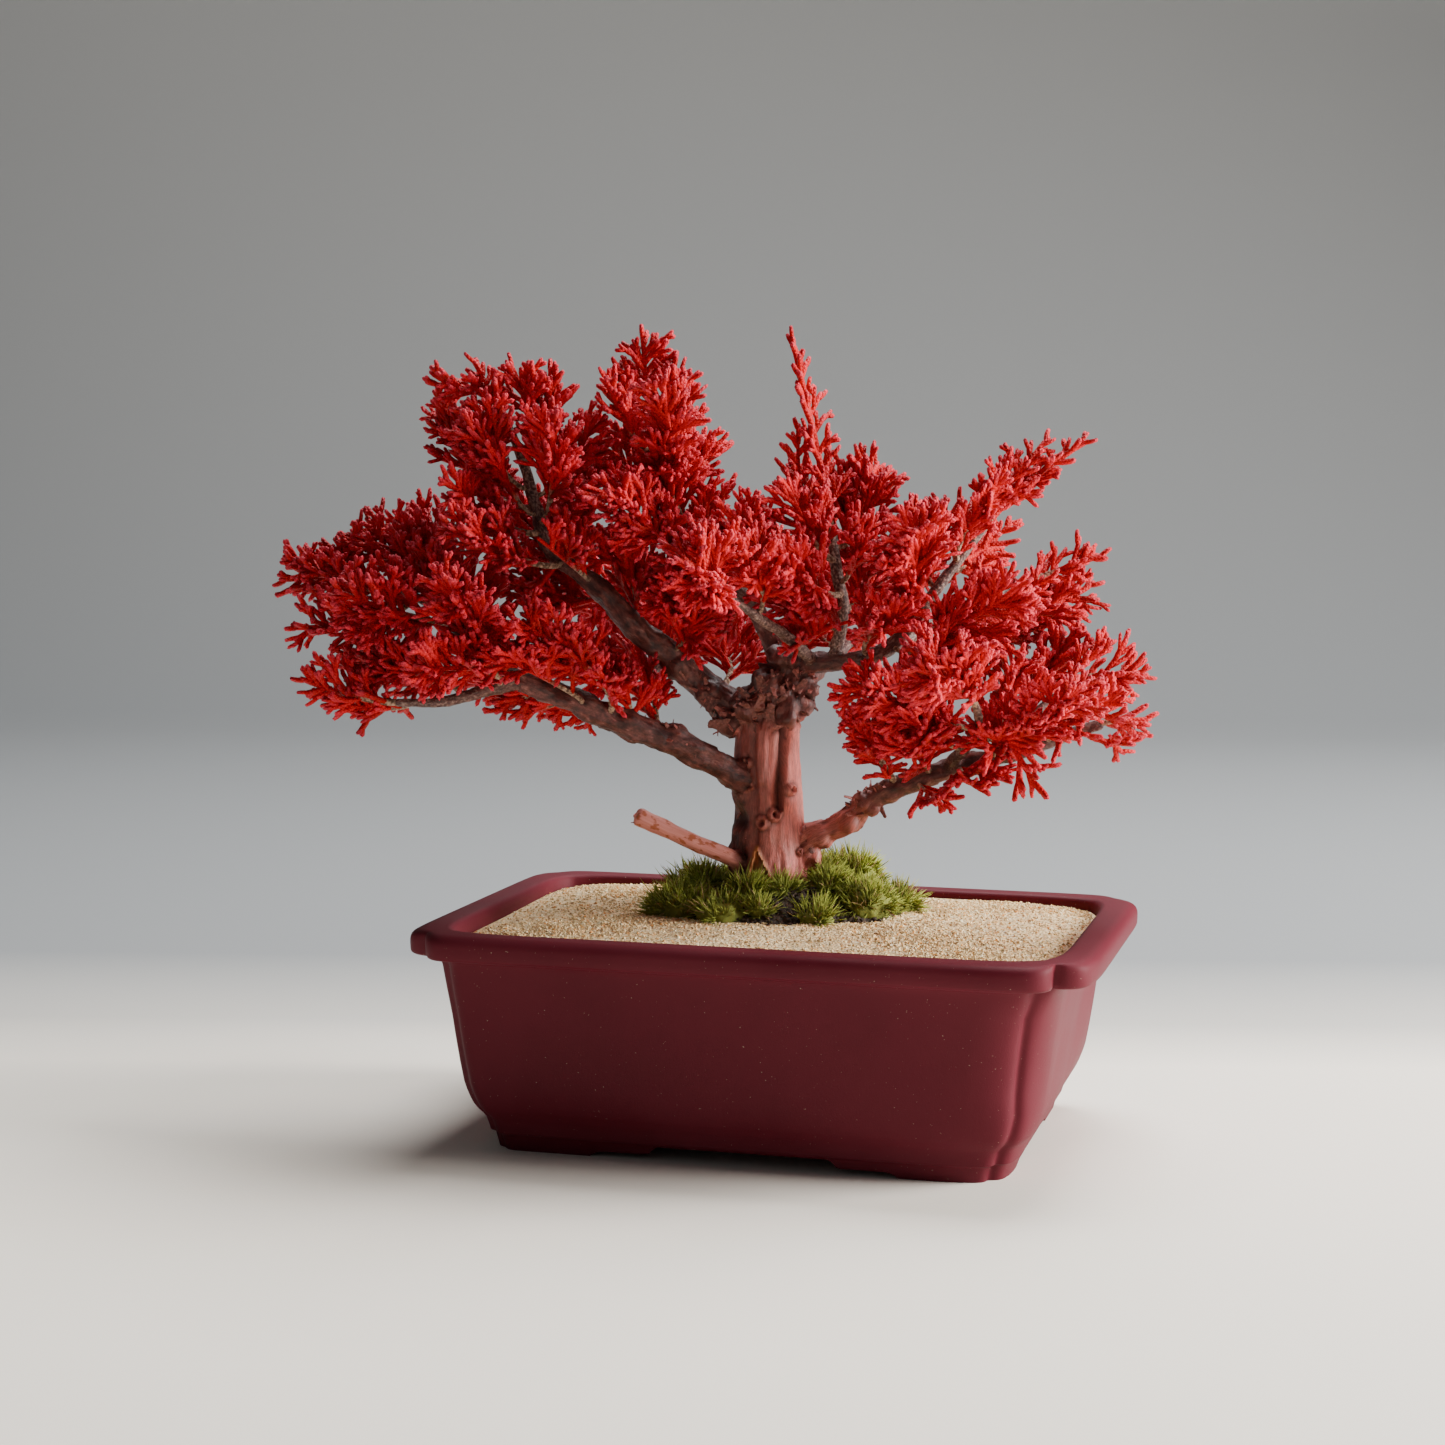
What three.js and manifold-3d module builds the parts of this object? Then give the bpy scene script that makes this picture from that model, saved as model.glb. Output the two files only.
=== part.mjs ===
// A shimpaku juniper grown as a small bonsai, its scale-leaf foliage dyed red, in an oblong plastic
// training pot filled with soil, a moss cushion and a top dressing of sand.
// Millimetres, +Z up. The pot's long side runs along X and its front faces -Y.
import * as THREE from "three";
import { mergeVertices } from "three/addons/utils/BufferGeometryUtils.js";
import Module from "manifold-3d";

const wasm = await Module();
wasm.setup();

// Clearance between two pieces that touch
const CLEAR = 0.35;

// The pot
const POT_LENGTH = 200;
const POT_WIDTH = 138;
const POT_HEIGHT = 65;
const SIDE_SLOPE = 0.7; // the long sides lean in by this share of what the ends do
const RIM_INSET = 10; // rim edge to the mouth
const FOOT_HEIGHT = 4.2;
const FOOT_WALL = 6.5;
const STEP_HEIGHT = 1.7; // the low step at the inner end of each foot
const FRONT_ARCH = 52;
const FRONT_STEP = 84;
const END_ARCH = 30;
const END_STEP = 50;
const FLOOR_TOP = 12.5;
const DRAIN_DIAMETER = 14;
const DRAIN_SPACING = 76;

// Height, inset of the ends and size of the corner notch, up the outside of the pot
const POT_SIDE = [
  [0, 24.6, 0.42],
  [FOOT_HEIGHT, 23.6, 0.42],
  [5, 22.3, 0.42],
  [9, 21.2, 0.42],
  [11.5, 19.2, 0.42],
  [15, 17.3, 0.42],
  [20, 15.7, 0.42],
  [40, 12.8, 0.42],
  [56, 9.9, 0.5],
];

// The rim: depth below its top, inset of the ends, inset of the sides and size of the corner notch
const RIM = [
  [7.3, 8.6, 6.6, 0.66],
  [7.5, 0.9, 0.9, 0.96],
  [6.7, 0.1, 0.1, 1],
  [2.6, 0, 0, 1],
  [0.9, 0.9, 0.9, 0.98],
  [0, 3.4, 3.4, 0.9],
];

// The inside: height, inset of the ends, inset of the sides and size of the corners
const INSIDE = [
  [POT_HEIGHT - 0.6, RIM_INSET + 0.4, RIM_INSET + 0.4, 1],
  [POT_HEIGHT - 5, RIM_INSET + 1, RIM_INSET + 0.8, 1],
  [48, 15, 12.8, 1.1],
  [22, 19, 14.4, 1.3],
  [FLOOR_TOP, 24, 18, 1.5],
];

// Half a corner each, as distances from where the sides would meet. Outside, the sides bow in to a round lobe
// and a square notch. Inside, they bow in to a plain round corner.
const LOBE = [[42, 0], [25, 1.6], [15, 3.4], [12, 6]];
const NOTCH_DEPTH = 10.8;
const BOW = [[32, 0], [18, 1.5], [10.5, 3], [7, 4.6]];
const BOW_DEPTH = 5.6;
const SIDE_POINTS = 2; // between the corners of the soil and the sand

// The filling
const SAND_DROP = 4; // rim to the sand at the wall
const SAND_CROWN = 2.6; // rim to the sand beside the mound
const SAND_DEPTH = 2.4;
const MOUND_CENTRE = [3, -2];
const MOUND_RADII = [44, 32];
const MOUND_TOP = 72;

// Cushions of moss round the trunk: place beside it, radius and height
const CUSHIONS = [
  [-30, -12, 13, 8],
  [-25, 8, 14, 8],
  [-15, -22, 11, 7],
  [-10, 21, 13, 8],
  [9, 23, 13, 8],
  [26, 14, 14, 11],
  [38, -2, 10, 8],
  [28, -13, 12, 8],
  [13, -25, 9, 5],
];
const BLADE = 3.6; // height of a tuft of moss
const BLADE_SHARE = 0.5; // share of a cushion's upper faces that bear one

// The tree stands a little behind the middle of the pot, turned so that its best side faces the front left
const TREE_PLACE = [-10, 21, 74];
const TREE_TURN = THREE.MathUtils.degToRad(14.7);
const FOOT_RADIUS = 9;
const FOOT_DEPTH = 26;

// Limbs: route from the parent's middle to the tip, and radii spread evenly along it
const LIMBS = {
  trunk: {
    path: [[-0.8, 0, -1.5], [-0.8, 0, 4], [-0.8, 0, 23], [-1.6, 0, 41], [1, 0, 52], [5, 0, 61], [6, 0, 67]],
    radii: [12.2, 10.8, 10, 9.5, 8.8, 7.6, 5.4],
    sides: 12,
    steps: 10,
  },
  stub: {
    path: [[-2, -3, 0], [-8, -7, 4], [-22, -10, 10], [-41, -13, 19]],
    radii: [3, 2.3, 2.3, 2.6],
    sides: 6,
    steps: 4,
  },
  b1: {
    path: [[0, 0, 26], [-9, -5, 30.5], [-25, -11, 39.5], [-37, -14, 44.7], [-50, -17, 50], [-61, -20, 55.5],
      [-73, -22, 60], [-82, -24, 64]],
    radii: [4.6, 3.7, 3.5, 3.3, 2.9, 2.4],
    sides: 6,
    steps: 8,
  },
  low1: {
    path: [[-75, -22, 61], [-87, -28, 58], [-99, -31, 55], [-112, -33, 55]],
    radii: [2.2, 1.5, 1],
    sides: 5,
    steps: 4,
  },
  up1: {
    path: [[-80, -24, 63], [-89, -22, 70], [-96, -16, 76], [-104, -10, 83], [-118, -6, 89]],
    radii: [2.2, 1.7, 1.3, 1],
    sides: 5,
    steps: 5,
  },
  b2: {
    path: [[0, 0, 44], [-12, 2, 50], [-25, 0, 61], [-33, -3, 69], [-41, -6, 75], [-53, -9, 88],
      [-68, -10, 100], [-72, -9, 112], [-77, -6, 128], [-84, -4, 143]],
    radii: [6.4, 4.4, 3.6, 3, 2.2, 1.7, 1.2],
    sides: 6,
    steps: 10,
  },
  b3: {
    path: [[0, 0, 4], [14, -2, 13], [23, -4, 18], [33, -8, 27], [54, -14, 35], [69, -16, 39], [81, -17, 43],
      [99, -18, 49]],
    radii: [5, 3.4, 3, 2.7, 2.2, 1.7, 1.1],
    sides: 6,
    steps: 9,
  },
  b4: {
    path: [[5, 0, 64], [14, -10, 66], [23, -15, 67], [34, -19, 71], [45, -20, 84], [53, -18, 95],
      [64, -14, 109]],
    radii: [3.2, 2.5, 2, 1.5, 1.1],
    sides: 5,
    steps: 8,
  },
  b5: {
    path: [[18, -12, 66], [21, -16, 82], [19, -16, 93], [17, -13, 107]],
    radii: [1.9, 1.6, 1.3],
    sides: 5,
    steps: 4,
  },
  b6: {
    path: [[5, 1, 60], [0, 6, 71], [-7, 4, 84], [-16, 0, 91], [-25, -3, 104], [-32, -4, 120], [-38, -1, 142]],
    radii: [3, 2.6, 2, 1.6, 1.3, 1.1],
    sides: 5,
    steps: 8,
  },
  b7: {
    path: [[0, 2, 46], [-12, 16, 52], [-24, 30, 60], [-34, 42, 67], [-42, 50, 72]],
    radii: [3.8, 2.9, 2.2, 1.3],
    sides: 5,
    steps: 5,
  },
  b8: {
    path: [[-28, -1, 62], [-34, 9, 63], [-39, 18, 62], [-44, 26, 61]],
    radii: [2, 1.4, 1],
    sides: 5,
    steps: 3,
  },
  b9: {
    path: [[12, -8, 66], [5, -25, 74], [-6, -40, 82], [-14, -52, 88]],
    radii: [1.9, 1.4, 1],
    sides: 5,
    steps: 4,
  },
  b10: {
    path: [[52, -13, 34], [58, -26, 43], [60, -38, 51], [58, -48, 57]],
    radii: [1.9, 1.4, 1],
    sides: 5,
    steps: 3,
  },
  b11: {
    path: [[30, -17, 69], [46, -6, 76], [62, 6, 82], [80, 14, 90]],
    radii: [1.9, 1.4, 1],
    sides: 5,
    steps: 4,
  },
  b12: {
    path: [[66, -16, 38], [78, -10, 49], [92, -4, 60]],
    radii: [1.8, 1.4, 1],
    sides: 5,
    steps: 3,
  },
  b13: {
    path: [[3, 2, 55], [12, 16, 60], [20, 28, 65], [28, 42, 71]],
    radii: [3.4, 2.6, 1.9, 1.2],
    sides: 5,
    steps: 4,
  },
  b14: {
    path: [[5, 1, 62], [10, 14, 69], [12, 24, 76], [13, 30, 82]],
    radii: [2.8, 2, 1.5, 1.1],
    sides: 5,
    steps: 4,
  },
};

// Sprays of foliage: limb, place along it, tip of the spray, and how far its side shoots spread
const SPRAYS = [
  ["up1", 1, [-145, -4, 90], 13],
  ["up1", 0.8, [-140, -16, 76], 13],
  ["up1", 0.62, [-122, 6, 107], 14],
  ["up1", 0.4, [-112, 16, 106], 15],
  ["up1", 0.5, [-124, -36, 86], 15],
  ["low1", 1, [-136, -30, 60], 11],
  ["low1", 0.5, [-119, -26, 64], 12],
  ["low1", 0.2, [-102, -52, 66], 14],
  ["up1", 0.15, [-92, -50, 88], 16],
  ["b1", 0.92, [-100, 12, 70], 16],
  ["b1", 0.74, [-69, -8, 51], 9],
  ["b1", 0.62, [-74, -42, 79], 15],
  ["b2", 1, [-101, -2, 149], 10],
  ["b2", 0.88, [-78, -6, 151], 11],
  ["b2", 0.76, [-104, 5, 144], 14],
  ["b2", 0.7, [-97, -26, 118], 12],
  ["b2", 0.62, [-96, -36, 108], 15],
  ["b2", 0.72, [-66, -26, 136], 15],
  ["b2", 0.56, [-92, 24, 116], 16],
  ["b6", 1, [-40, 2, 163], 12],
  ["b6", 0.86, [-52, -10, 150], 11],
  ["b6", 0.88, [-25, 8, 151], 10],
  ["b6", 0.76, [-19, 8, 128], 12],
  ["b6", 0.7, [-52, 16, 134], 14],
  ["b6", 0.78, [-33, -34, 146], 14],
  ["b6", 0.52, [-9, 20, 110], 15],
  ["b6", 0.5, [-48, -32, 118], 16],
  ["b6", 0.38, [-10, -28, 112], 16],
  ["b5", 1, [5, -5, 163], 6],
  ["b5", 0.86, [29, 0, 125], 13],
  ["b5", 0.76, [5, -28, 116], 13],
  ["b5", 0.52, [2, -48, 98], 14],
  ["b4", 1, [91, -12, 132], 7],
  ["b4", 0.82, [66, -22, 124], 11],
  ["b4", 0.8, [69, 8, 101], 12],
  ["b4", 0.62, [42, 12, 112], 14],
  ["b4", 0.55, [68, -36, 88], 16],
  ["b4", 0.6, [42, -48, 108], 16],
  ["b11", 1, [99, 16, 98], 10],
  ["b11", 0.6, [90, 32, 84], 14],
  ["b12", 1, [107, -2, 66], 13],
  ["b12", 0.4, [84, 8, 62], 14],
  ["b3", 1, [108, -18, 50], 10],
  ["b3", 0.85, [99, -36, 56], 12],
  ["b3", 0.6, [58, -28, 27], 12],
  ["b3", 0.52, [44, -42, 48], 15],
  ["b3", 0.42, [22, -26, 52], 13],
  ["b10", 1, [42, -72, 68], 16],
  ["b10", 0.5, [84, -54, 60], 15],
  ["b8", 1, [-56, 44, 60], 14],
  ["b9", 1, [-24, -74, 96], 16],
  ["b7", 1, [-58, 62, 84], 17],
  ["b7", 0.4, [-24, 50, 75], 16],
  ["b13", 1, [36, 54, 74], 16],
  ["b14", 1, [14, 42, 96], 16],
];
const STEM_RADII = [1.1, 2.1, 2.5, 2.1, 1.4, 0.8]; // bare at the wood, thick where the leaves crowd it
const STEM_STEP = 5.5;
const FEWEST_STEPS = 5;
const MOST_STEPS = 7;
const STEM_TRIES = 14;
const REACH = [0.7, 1, 1.05, 0.9, 0.6]; // of the side shoots: full low down, short at the tip
const SHOOT_TRIES = 5;
const SHOOT_RADIUS = 1.25;
const ROOT_REACH = 2.2; // about half the length of the face a shoot grows from
const LEAVES = 5; // on each side shoot
const LEAF_LENGTH = 9;
const TWIG_LEAF_LENGTH = 7.5;
const FULL_SPRAY = 13; // sprays spreading less than this have shorter leaves too
const FAR = 45; // shoots further apart than this never meet
const BERTH = 1.1; // left between the shoots of two sprays
const SEED = 20117;

const COLOURS = {
  pot: { color: 0x5a2730, roughness: 0.55, metalness: 0 },
  soil: { color: 0x2d241d, roughness: 0.95, metalness: 0 },
  sand: { color: 0xc9b089, roughness: 0.9, metalness: 0 },
  moss: { color: 0x5f7424, roughness: 0.85, metalness: 0 },
  wood: { color: 0x70392f, roughness: 0.8, metalness: 0 },
  foliage: { color: 0xb01a1c, roughness: 0.6, metalness: 0 },
};

// Geometry helpers

const vec = (p) => new THREE.Vector3(p[0], p[1], p[2] ?? 0);

// A repeatable stream of numbers from 0 to 1
let seed = SEED;
function random() {
  seed = (Math.imul(seed, 1664525) + 1013904223) >>> 0;
  return seed / 4294967296;
}

// A number between -size and size
function spread(size) {
  return (2 * random() - 1) * size;
}

// A value on a list of values spread evenly over 0 to 1
function along(values, t) {
  const place = Math.min(Math.max(t, 0), 1) * (values.length - 1);
  const i = Math.min(Math.floor(place), values.length - 2);
  return THREE.MathUtils.lerp(values[i], values[i + 1], place - i);
}

// A geometry from points and triangles
function facets(points, faces) {
  const geometry = new THREE.BufferGeometry().setFromPoints(points);
  return geometry.setIndex(faces.flat());
}

function solidOf(geometry) {
  const bare = geometry.clone();
  bare.deleteAttribute("normal");
  bare.deleteAttribute("uv");
  const merged = mergeVertices(bare, 1e-4);
  return new wasm.Manifold(
    new wasm.Mesh({
      numProp: 3,
      vertProperties: new Float32Array(merged.attributes.position.array),
      triVerts: new Uint32Array(merged.index.array),
    }),
  );
}

function geometryOf(solid) {
  const mesh = solid.getMesh();
  const geometry = new THREE.BufferGeometry();
  geometry.setAttribute("position", new THREE.BufferAttribute(new Float32Array(mesh.vertProperties), 3));
  geometry.setIndex(new THREE.BufferAttribute(new Uint32Array(mesh.triVerts), 1));
  geometry.computeVertexNormals();
  return geometry;
}

function piece(name, geometry, finish) {
  const material = new THREE.MeshStandardMaterial({ ...COLOURS[finish], flatShading: true });
  const mesh = new THREE.Mesh(geometry, material);
  mesh.name = name;
  return mesh;
}

// Triangles that skin a stack of rings with the same number of points
function skin(rings, ends) {
  const count = rings[0].length;
  const points = rings.flat();
  const faces = [];
  const last = ends === "joined" ? rings.length : rings.length - 1;
  for (let i = 0; i < last; i++) {
    const low = i * count;
    const high = ((i + 1) % rings.length) * count;
    for (let j = 0; j < count; j++) {
      const next = (j + 1) % count;
      faces.push([low + j, low + next, high + next], [low + j, high + next, high + j]);
    }
  }
  if (ends === "closed") {
    const top = (rings.length - 1) * count;
    const middle = (ring) => ring.reduce((sum, p) => sum.add(p), new THREE.Vector3()).divideScalar(count);
    points.push(middle(rings[0]), middle(rings[rings.length - 1]));
    for (let j = 0; j < count; j++) {
      const next = (j + 1) % count;
      faces.push([next, j, points.length - 2], [top + j, top + next, points.length - 1]);
    }
  }
  return facets(points, faces);
}

// The tree's own directions, turned and set in the pot
function inPot(p) {
  return vec(p).applyAxisAngle(new THREE.Vector3(0, 0, 1), TREE_TURN).add(vec(TREE_PLACE));
}

// Outlines of the pot, seen from above

// A whole corner from its half, at a size
function corner(half, depth, size) {
  const other = half.map(([a, b]) => [b, a]).reverse();
  return [...half, [depth, depth], ...other].map(([a, b]) => [a * size, b * size]);
}

function outline(halfLength, halfWidth, height, steps) {
  const places = [[1, -1], [1, 1], [-1, 1], [-1, -1]];
  return places.flatMap(([right, back], turn) => {
    const inOrder = turn % 2 ? [...steps].reverse() : steps;
    const place = ([a, b]) => new THREE.Vector3(right * (halfLength - a), back * (halfWidth - b), height);
    return inOrder.map(place);
  });
}

function potRing(height, endInset, sideInset, steps) {
  return outline(POT_LENGTH / 2 - endInset, POT_WIDTH / 2 - sideInset, height, steps);
}

function notch(size) {
  return corner(LOBE, NOTCH_DEPTH, size);
}

function bow(size) {
  return corner(BOW, BOW_DEPTH, size);
}

// The same ring with more points along its four sides
function withSidePoints(ring) {
  const count = ring.length / 4;
  return ring.flatMap((p, i) => {
    if ((i + 1) % count) return [p];
    const next = ring[(i + 1) % ring.length];
    const shares = Array.from({ length: SIDE_POINTS + 1 }, (_, k) => k / (SIDE_POINTS + 1));
    return shares.map((share) => p.clone().lerp(next, share));
  });
}

// The inside of the pot at a height, drawn in by a gap
function insideRing(height, gap) {
  const above = INSIDE.filter((level) => level[0] >= height).pop() ?? INSIDE[0];
  const below = INSIDE.find((level) => level[0] <= height) ?? INSIDE[INSIDE.length - 1];
  const share = above[0] === below[0] ? 0 : (above[0] - height) / (above[0] - below[0]);
  const [ends, sides, size] = [1, 2, 3].map((k) => THREE.MathUtils.lerp(above[k], below[k], share));
  return withSidePoints(potRing(height, ends + gap, sides + gap, bow(size)));
}

function makePot() {
  const foot = POT_SIDE[0];
  const innerFoot = [foot[1] + FOOT_WALL, foot[1] * SIDE_SLOPE + FOOT_WALL];
  const rings = [
    potRing(FOOT_HEIGHT + 0.4, ...innerFoot, notch(foot[2])),
    potRing(0, ...innerFoot, notch(foot[2])),
    ...POT_SIDE.map(([height, inset, size]) => potRing(height, inset, inset * SIDE_SLOPE, notch(size))),
    ...RIM.map(([drop, ends, sides, size]) => potRing(POT_HEIGHT - drop, ends, sides, notch(size))),
    potRing(POT_HEIGHT, RIM_INSET - 0.4, RIM_INSET - 0.4, bow(1)),
    ...INSIDE.map(([height, ends, sides, size]) => potRing(height, ends, sides, bow(size))),
  ];
  let pot = solidOf(skin(rings, "closed"));
  const cut = (geometry, x, y, z) => {
    geometry.translate(x, y, z);
    pot = pot.subtract(solidOf(geometry));
  };
  const arch = (length, width, height) => {
    const below = 2;
    cut(new THREE.BoxGeometry(length, width, height + below), 0, 0, (height - below) / 2);
  };
  arch(FRONT_ARCH, POT_WIDTH, FOOT_HEIGHT);
  arch(FRONT_STEP, POT_WIDTH, STEP_HEIGHT);
  arch(POT_LENGTH, END_ARCH, FOOT_HEIGHT);
  arch(POT_LENGTH, END_STEP, STEP_HEIGHT);
  for (const side of [-1, 1]) {
    const drain = new THREE.CylinderGeometry(DRAIN_DIAMETER / 2, DRAIN_DIAMETER / 2, 2 * FLOOR_TOP, 16);
    cut(drain.rotateX(Math.PI / 2), (side * DRAIN_SPACING) / 2, 0, FLOOR_TOP / 2);
  }
  return piece("pot", geometryOf(pot), "pot");
}

// Soil, sand and moss

// A ring round the mound, matched point for point with a ring of the pot
function moundRing(size, height) {
  const like = insideRing(POT_HEIGHT - SAND_DROP, 0);
  const middle = inPot([...MOUND_CENTRE, 0]);
  const turn = new THREE.Vector3(0, 0, 1);
  return like.map((p) => {
    const away = p.clone().sub(middle).setZ(0).applyAxisAngle(turn, -TREE_TURN);
    const angle = Math.atan2(away.y / MOUND_RADII[1], away.x / MOUND_RADII[0]);
    const point = new THREE.Vector3(Math.cos(angle) * MOUND_RADII[0], Math.sin(angle) * MOUND_RADII[1], 0);
    return point.multiplyScalar(size).applyAxisAngle(turn, TREE_TURN).add(middle).setZ(height);
  });
}

function between(ringA, ringB, share, height) {
  return ringA.map((p, i) => p.clone().lerp(ringB[i], share).setZ(height));
}

const SAND_EDGE = POT_HEIGHT - SAND_DROP;
const SAND_TOP = POT_HEIGHT - SAND_CROWN;
const SOIL_EDGE = SAND_EDGE - SAND_DEPTH;

function trunkHole(radius) {
  const hole = new THREE.CylinderGeometry(radius, radius, FOOT_DEPTH + CLEAR + 10, 16).rotateX(Math.PI / 2);
  const at = inPot([0, 0, (10 - FOOT_DEPTH - CLEAR) / 2]);
  return solidOf(hole.translate(at.x, at.y, at.z));
}

// Where the soil rises out of the sand to the trunk
function moundTop(lift) {
  return [
    moundRing(0.86, SAND_TOP + 0.4 + lift),
    moundRing(0.64, MOUND_TOP - 4.6 + lift),
    moundRing(0.42, MOUND_TOP - 1 + lift),
    moundRing(0.3, MOUND_TOP + lift),
  ];
}

function sandTop(lift) {
  const wall = insideRing(SAND_EDGE, CLEAR);
  const inner = moundRing(0.885, SAND_TOP + lift);
  return [
    between(wall, inner, 0, SAND_EDGE + lift),
    between(wall, inner, 0.22, SAND_EDGE + 1.3 + lift),
    between(wall, inner, 0.6, SAND_TOP - 0.4 + lift),
    inner,
  ];
}

function soilSolid() {
  const low = [FLOOR_TOP + CLEAR, 22, 48, SOIL_EDGE];
  const sides = low.map((height) => insideRing(height, CLEAR));
  const rings = [...sides, moundRing(1, SOIL_EDGE + 0.6), ...moundTop(0)];
  return solidOf(skin(rings, "closed")).subtract(trunkHole(FOOT_RADIUS + CLEAR));
}

function sandSolid() {
  const bottom = [insideRing(SOIL_EDGE + CLEAR, CLEAR), moundRing(1.025, SOIL_EDGE + 0.6 + CLEAR)];
  return solidOf(skin([bottom[0], ...sandTop(0), bottom[1]], "joined"));
}

// Everything below the surface that the moss grows on
function groundSolid(lift) {
  return solidOf(skin([insideRing(SOIL_EDGE - 10, 0), ...sandTop(lift), ...moundTop(lift)], "closed"));
}

// A cushion is a rough ball whose upper faces each rise to a blade
function cushion([x, y, radius, height]) {
  const ball = mergeVertices(bareBall(radius, height), 1e-3);
  const place = ball.attributes.position;
  const points = [];
  for (let i = 0; i < place.count; i++) points.push(new THREE.Vector3().fromBufferAttribute(place, i));
  const faces = [];
  for (let i = 0; i < ball.index.count; i += 3) {
    const [a, b, c] = [0, 1, 2].map((k) => ball.index.getX(i + k));
    const middle = points[a].clone().add(points[b]).add(points[c]).divideScalar(3);
    const away = middle.clone().normalize();
    if (away.z < 0.2 || random() > BLADE_SHARE) {
      faces.push([a, b, c]);
      continue;
    }
    const lean = new THREE.Vector3(spread(1.1), spread(1.1), spread(0.6));
    points.push(middle.addScaledVector(away, BLADE * (0.8 + 0.5 * random())).add(lean));
    const tip = points.length - 1;
    faces.push([a, b, tip], [b, c, tip], [c, a, tip]);
  }
  const geometry = facets(points, faces);
  const share = Math.hypot((x - MOUND_CENTRE[0]) / MOUND_RADII[0], (y - MOUND_CENTRE[1]) / MOUND_RADII[1]);
  const ground = THREE.MathUtils.lerp(MOUND_TOP, SAND_TOP, share * share) - TREE_PLACE[2];
  const at = inPot([x, y, ground - 1]);
  return solidOf(geometry.rotateZ(TREE_TURN + x).translate(at.x, at.y, at.z));
}

function bareBall(radius, height) {
  const ball = new THREE.IcosahedronGeometry(1, 1);
  ball.deleteAttribute("normal");
  ball.deleteAttribute("uv");
  return ball.scale(radius, radius, height);
}

// The space over the filling, inside the wall
function abovePot() {
  const wall = insideRing(SAND_EDGE, 1.5);
  const lift = (height) => wall.map((p) => p.clone().setZ(height));
  return solidOf(skin([lift(SOIL_EDGE), lift(POT_HEIGHT + 40)], "closed"));
}

function makeFilling(woodBerth) {
  const soil = soilSolid();
  const sand = sandSolid();
  let moss = CUSHIONS.map(cushion).reduce((sum, next) => sum.add(next));
  moss = moss.subtract(groundSolid(CLEAR));
  moss = moss.intersect(abovePot()).subtract(woodBerth).subtract(trunkHole(FOOT_RADIUS + 1));
  const whole = moss.decompose().sort((a, b) => b.volume() - a.volume())[0];
  return [
    piece("soil", geometryOf(soil), "soil"),
    piece("sand", geometryOf(sand), "sand"),
    piece("moss", geometryOf(whole), "moss"),
  ];
}

// Wood

function curveOf(limb) {
  return new THREE.CatmullRomCurve3(limb.path.map(vec), false, "catmullrom", 0.5);
}

// The trunk swells into long flutes that run up it
function flute(angle, t) {
  return 1 + 0.07 * Math.cos(3 * angle + 2.4 * t) + 0.05 * Math.cos(5 * angle - 3 * t + 1);
}

function limbSolid(name, extra) {
  const limb = LIMBS[name];
  const curve = curveOf(limb);
  const frames = curve.computeFrenetFrames(limb.steps, false);
  const rings = [];
  for (let i = 0; i <= limb.steps; i++) {
    const t = i / limb.steps;
    const centre = curve.getPointAt(t);
    const ring = [];
    for (let j = 0; j < limb.sides; j++) {
      const angle = (j / limb.sides) * 2 * Math.PI;
      const reach = (along(limb.radii, t) + extra) * (name === "trunk" ? flute(angle, t) : 1);
      const across = frames.normals[i].clone().multiplyScalar(Math.cos(angle) * reach);
      const upward = frames.binormals[i].clone().multiplyScalar(Math.sin(angle) * reach);
      ring.push(centre.clone().add(across).add(upward));
    }
    rings.push(ring);
  }
  return solidOf(skin(rings, "closed"));
}

function footSolid(radius) {
  const foot = new THREE.CylinderGeometry(radius, radius - 2, FOOT_DEPTH + 2, 12).rotateX(Math.PI / 2);
  return solidOf(foot.translate(0, 0, 2 - (FOOT_DEPTH + 2) / 2));
}

function woodSolid(extra) {
  const limbs = Object.keys(LIMBS).map((name) => limbSolid(name, extra));
  return limbs.reduce((sum, next) => sum.add(next), footSolid(FOOT_RADIUS + extra));
}

// Foliage

// Rods stand for everything that a new shoot must stay clear of
const rods = [];

function rodsOfWood() {
  for (const limb of Object.values(LIMBS)) {
    const curve = curveOf(limb);
    const count = limb.steps * 2;
    for (let i = 0; i < count; i++) {
      rods.push({
        from: curve.getPointAt(i / count),
        to: curve.getPointAt((i + 1) / count),
        radii: [along(limb.radii, i / count), along(limb.radii, (i + 1) / count)],
        spray: -1,
      });
    }
  }
}

// Gap left between two tapering rods, by their closest points
function gapBetween(rodA, rodB) {
  const d1 = rodA.to.clone().sub(rodA.from);
  const d2 = rodB.to.clone().sub(rodB.from);
  const apart = rodA.from.clone().sub(rodB.from);
  const a = d1.dot(d1);
  const e = d2.dot(d2);
  const f = d2.dot(apart);
  const c = d1.dot(apart);
  const b = d1.dot(d2);
  const scale = a * e - b * b;
  const limit = (value) => Math.min(Math.max(value, 0), 1);
  let s = scale > 1e-9 ? limit((b * f - c * e) / scale) : 0;
  const t = limit((b * s + f) / e);
  s = limit((b * t - c) / a);
  const near = rodA.from.clone().addScaledVector(d1, s);
  const far = rodB.from.clone().addScaledVector(d2, t);
  const reach = THREE.MathUtils.lerp(...rodA.radii, s) + THREE.MathUtils.lerp(...rodB.radii, t);
  return near.distanceTo(far) - reach;
}

// Whether a rod keeps its berth from the wood and from every other spray
function isFree(rod) {
  return rods.every((other) => {
    const apart = other.from.distanceTo(rod.from) > FAR;
    return other.spray === rod.spray || apart || gapBetween(rod, other) > BERTH;
  });
}

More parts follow.
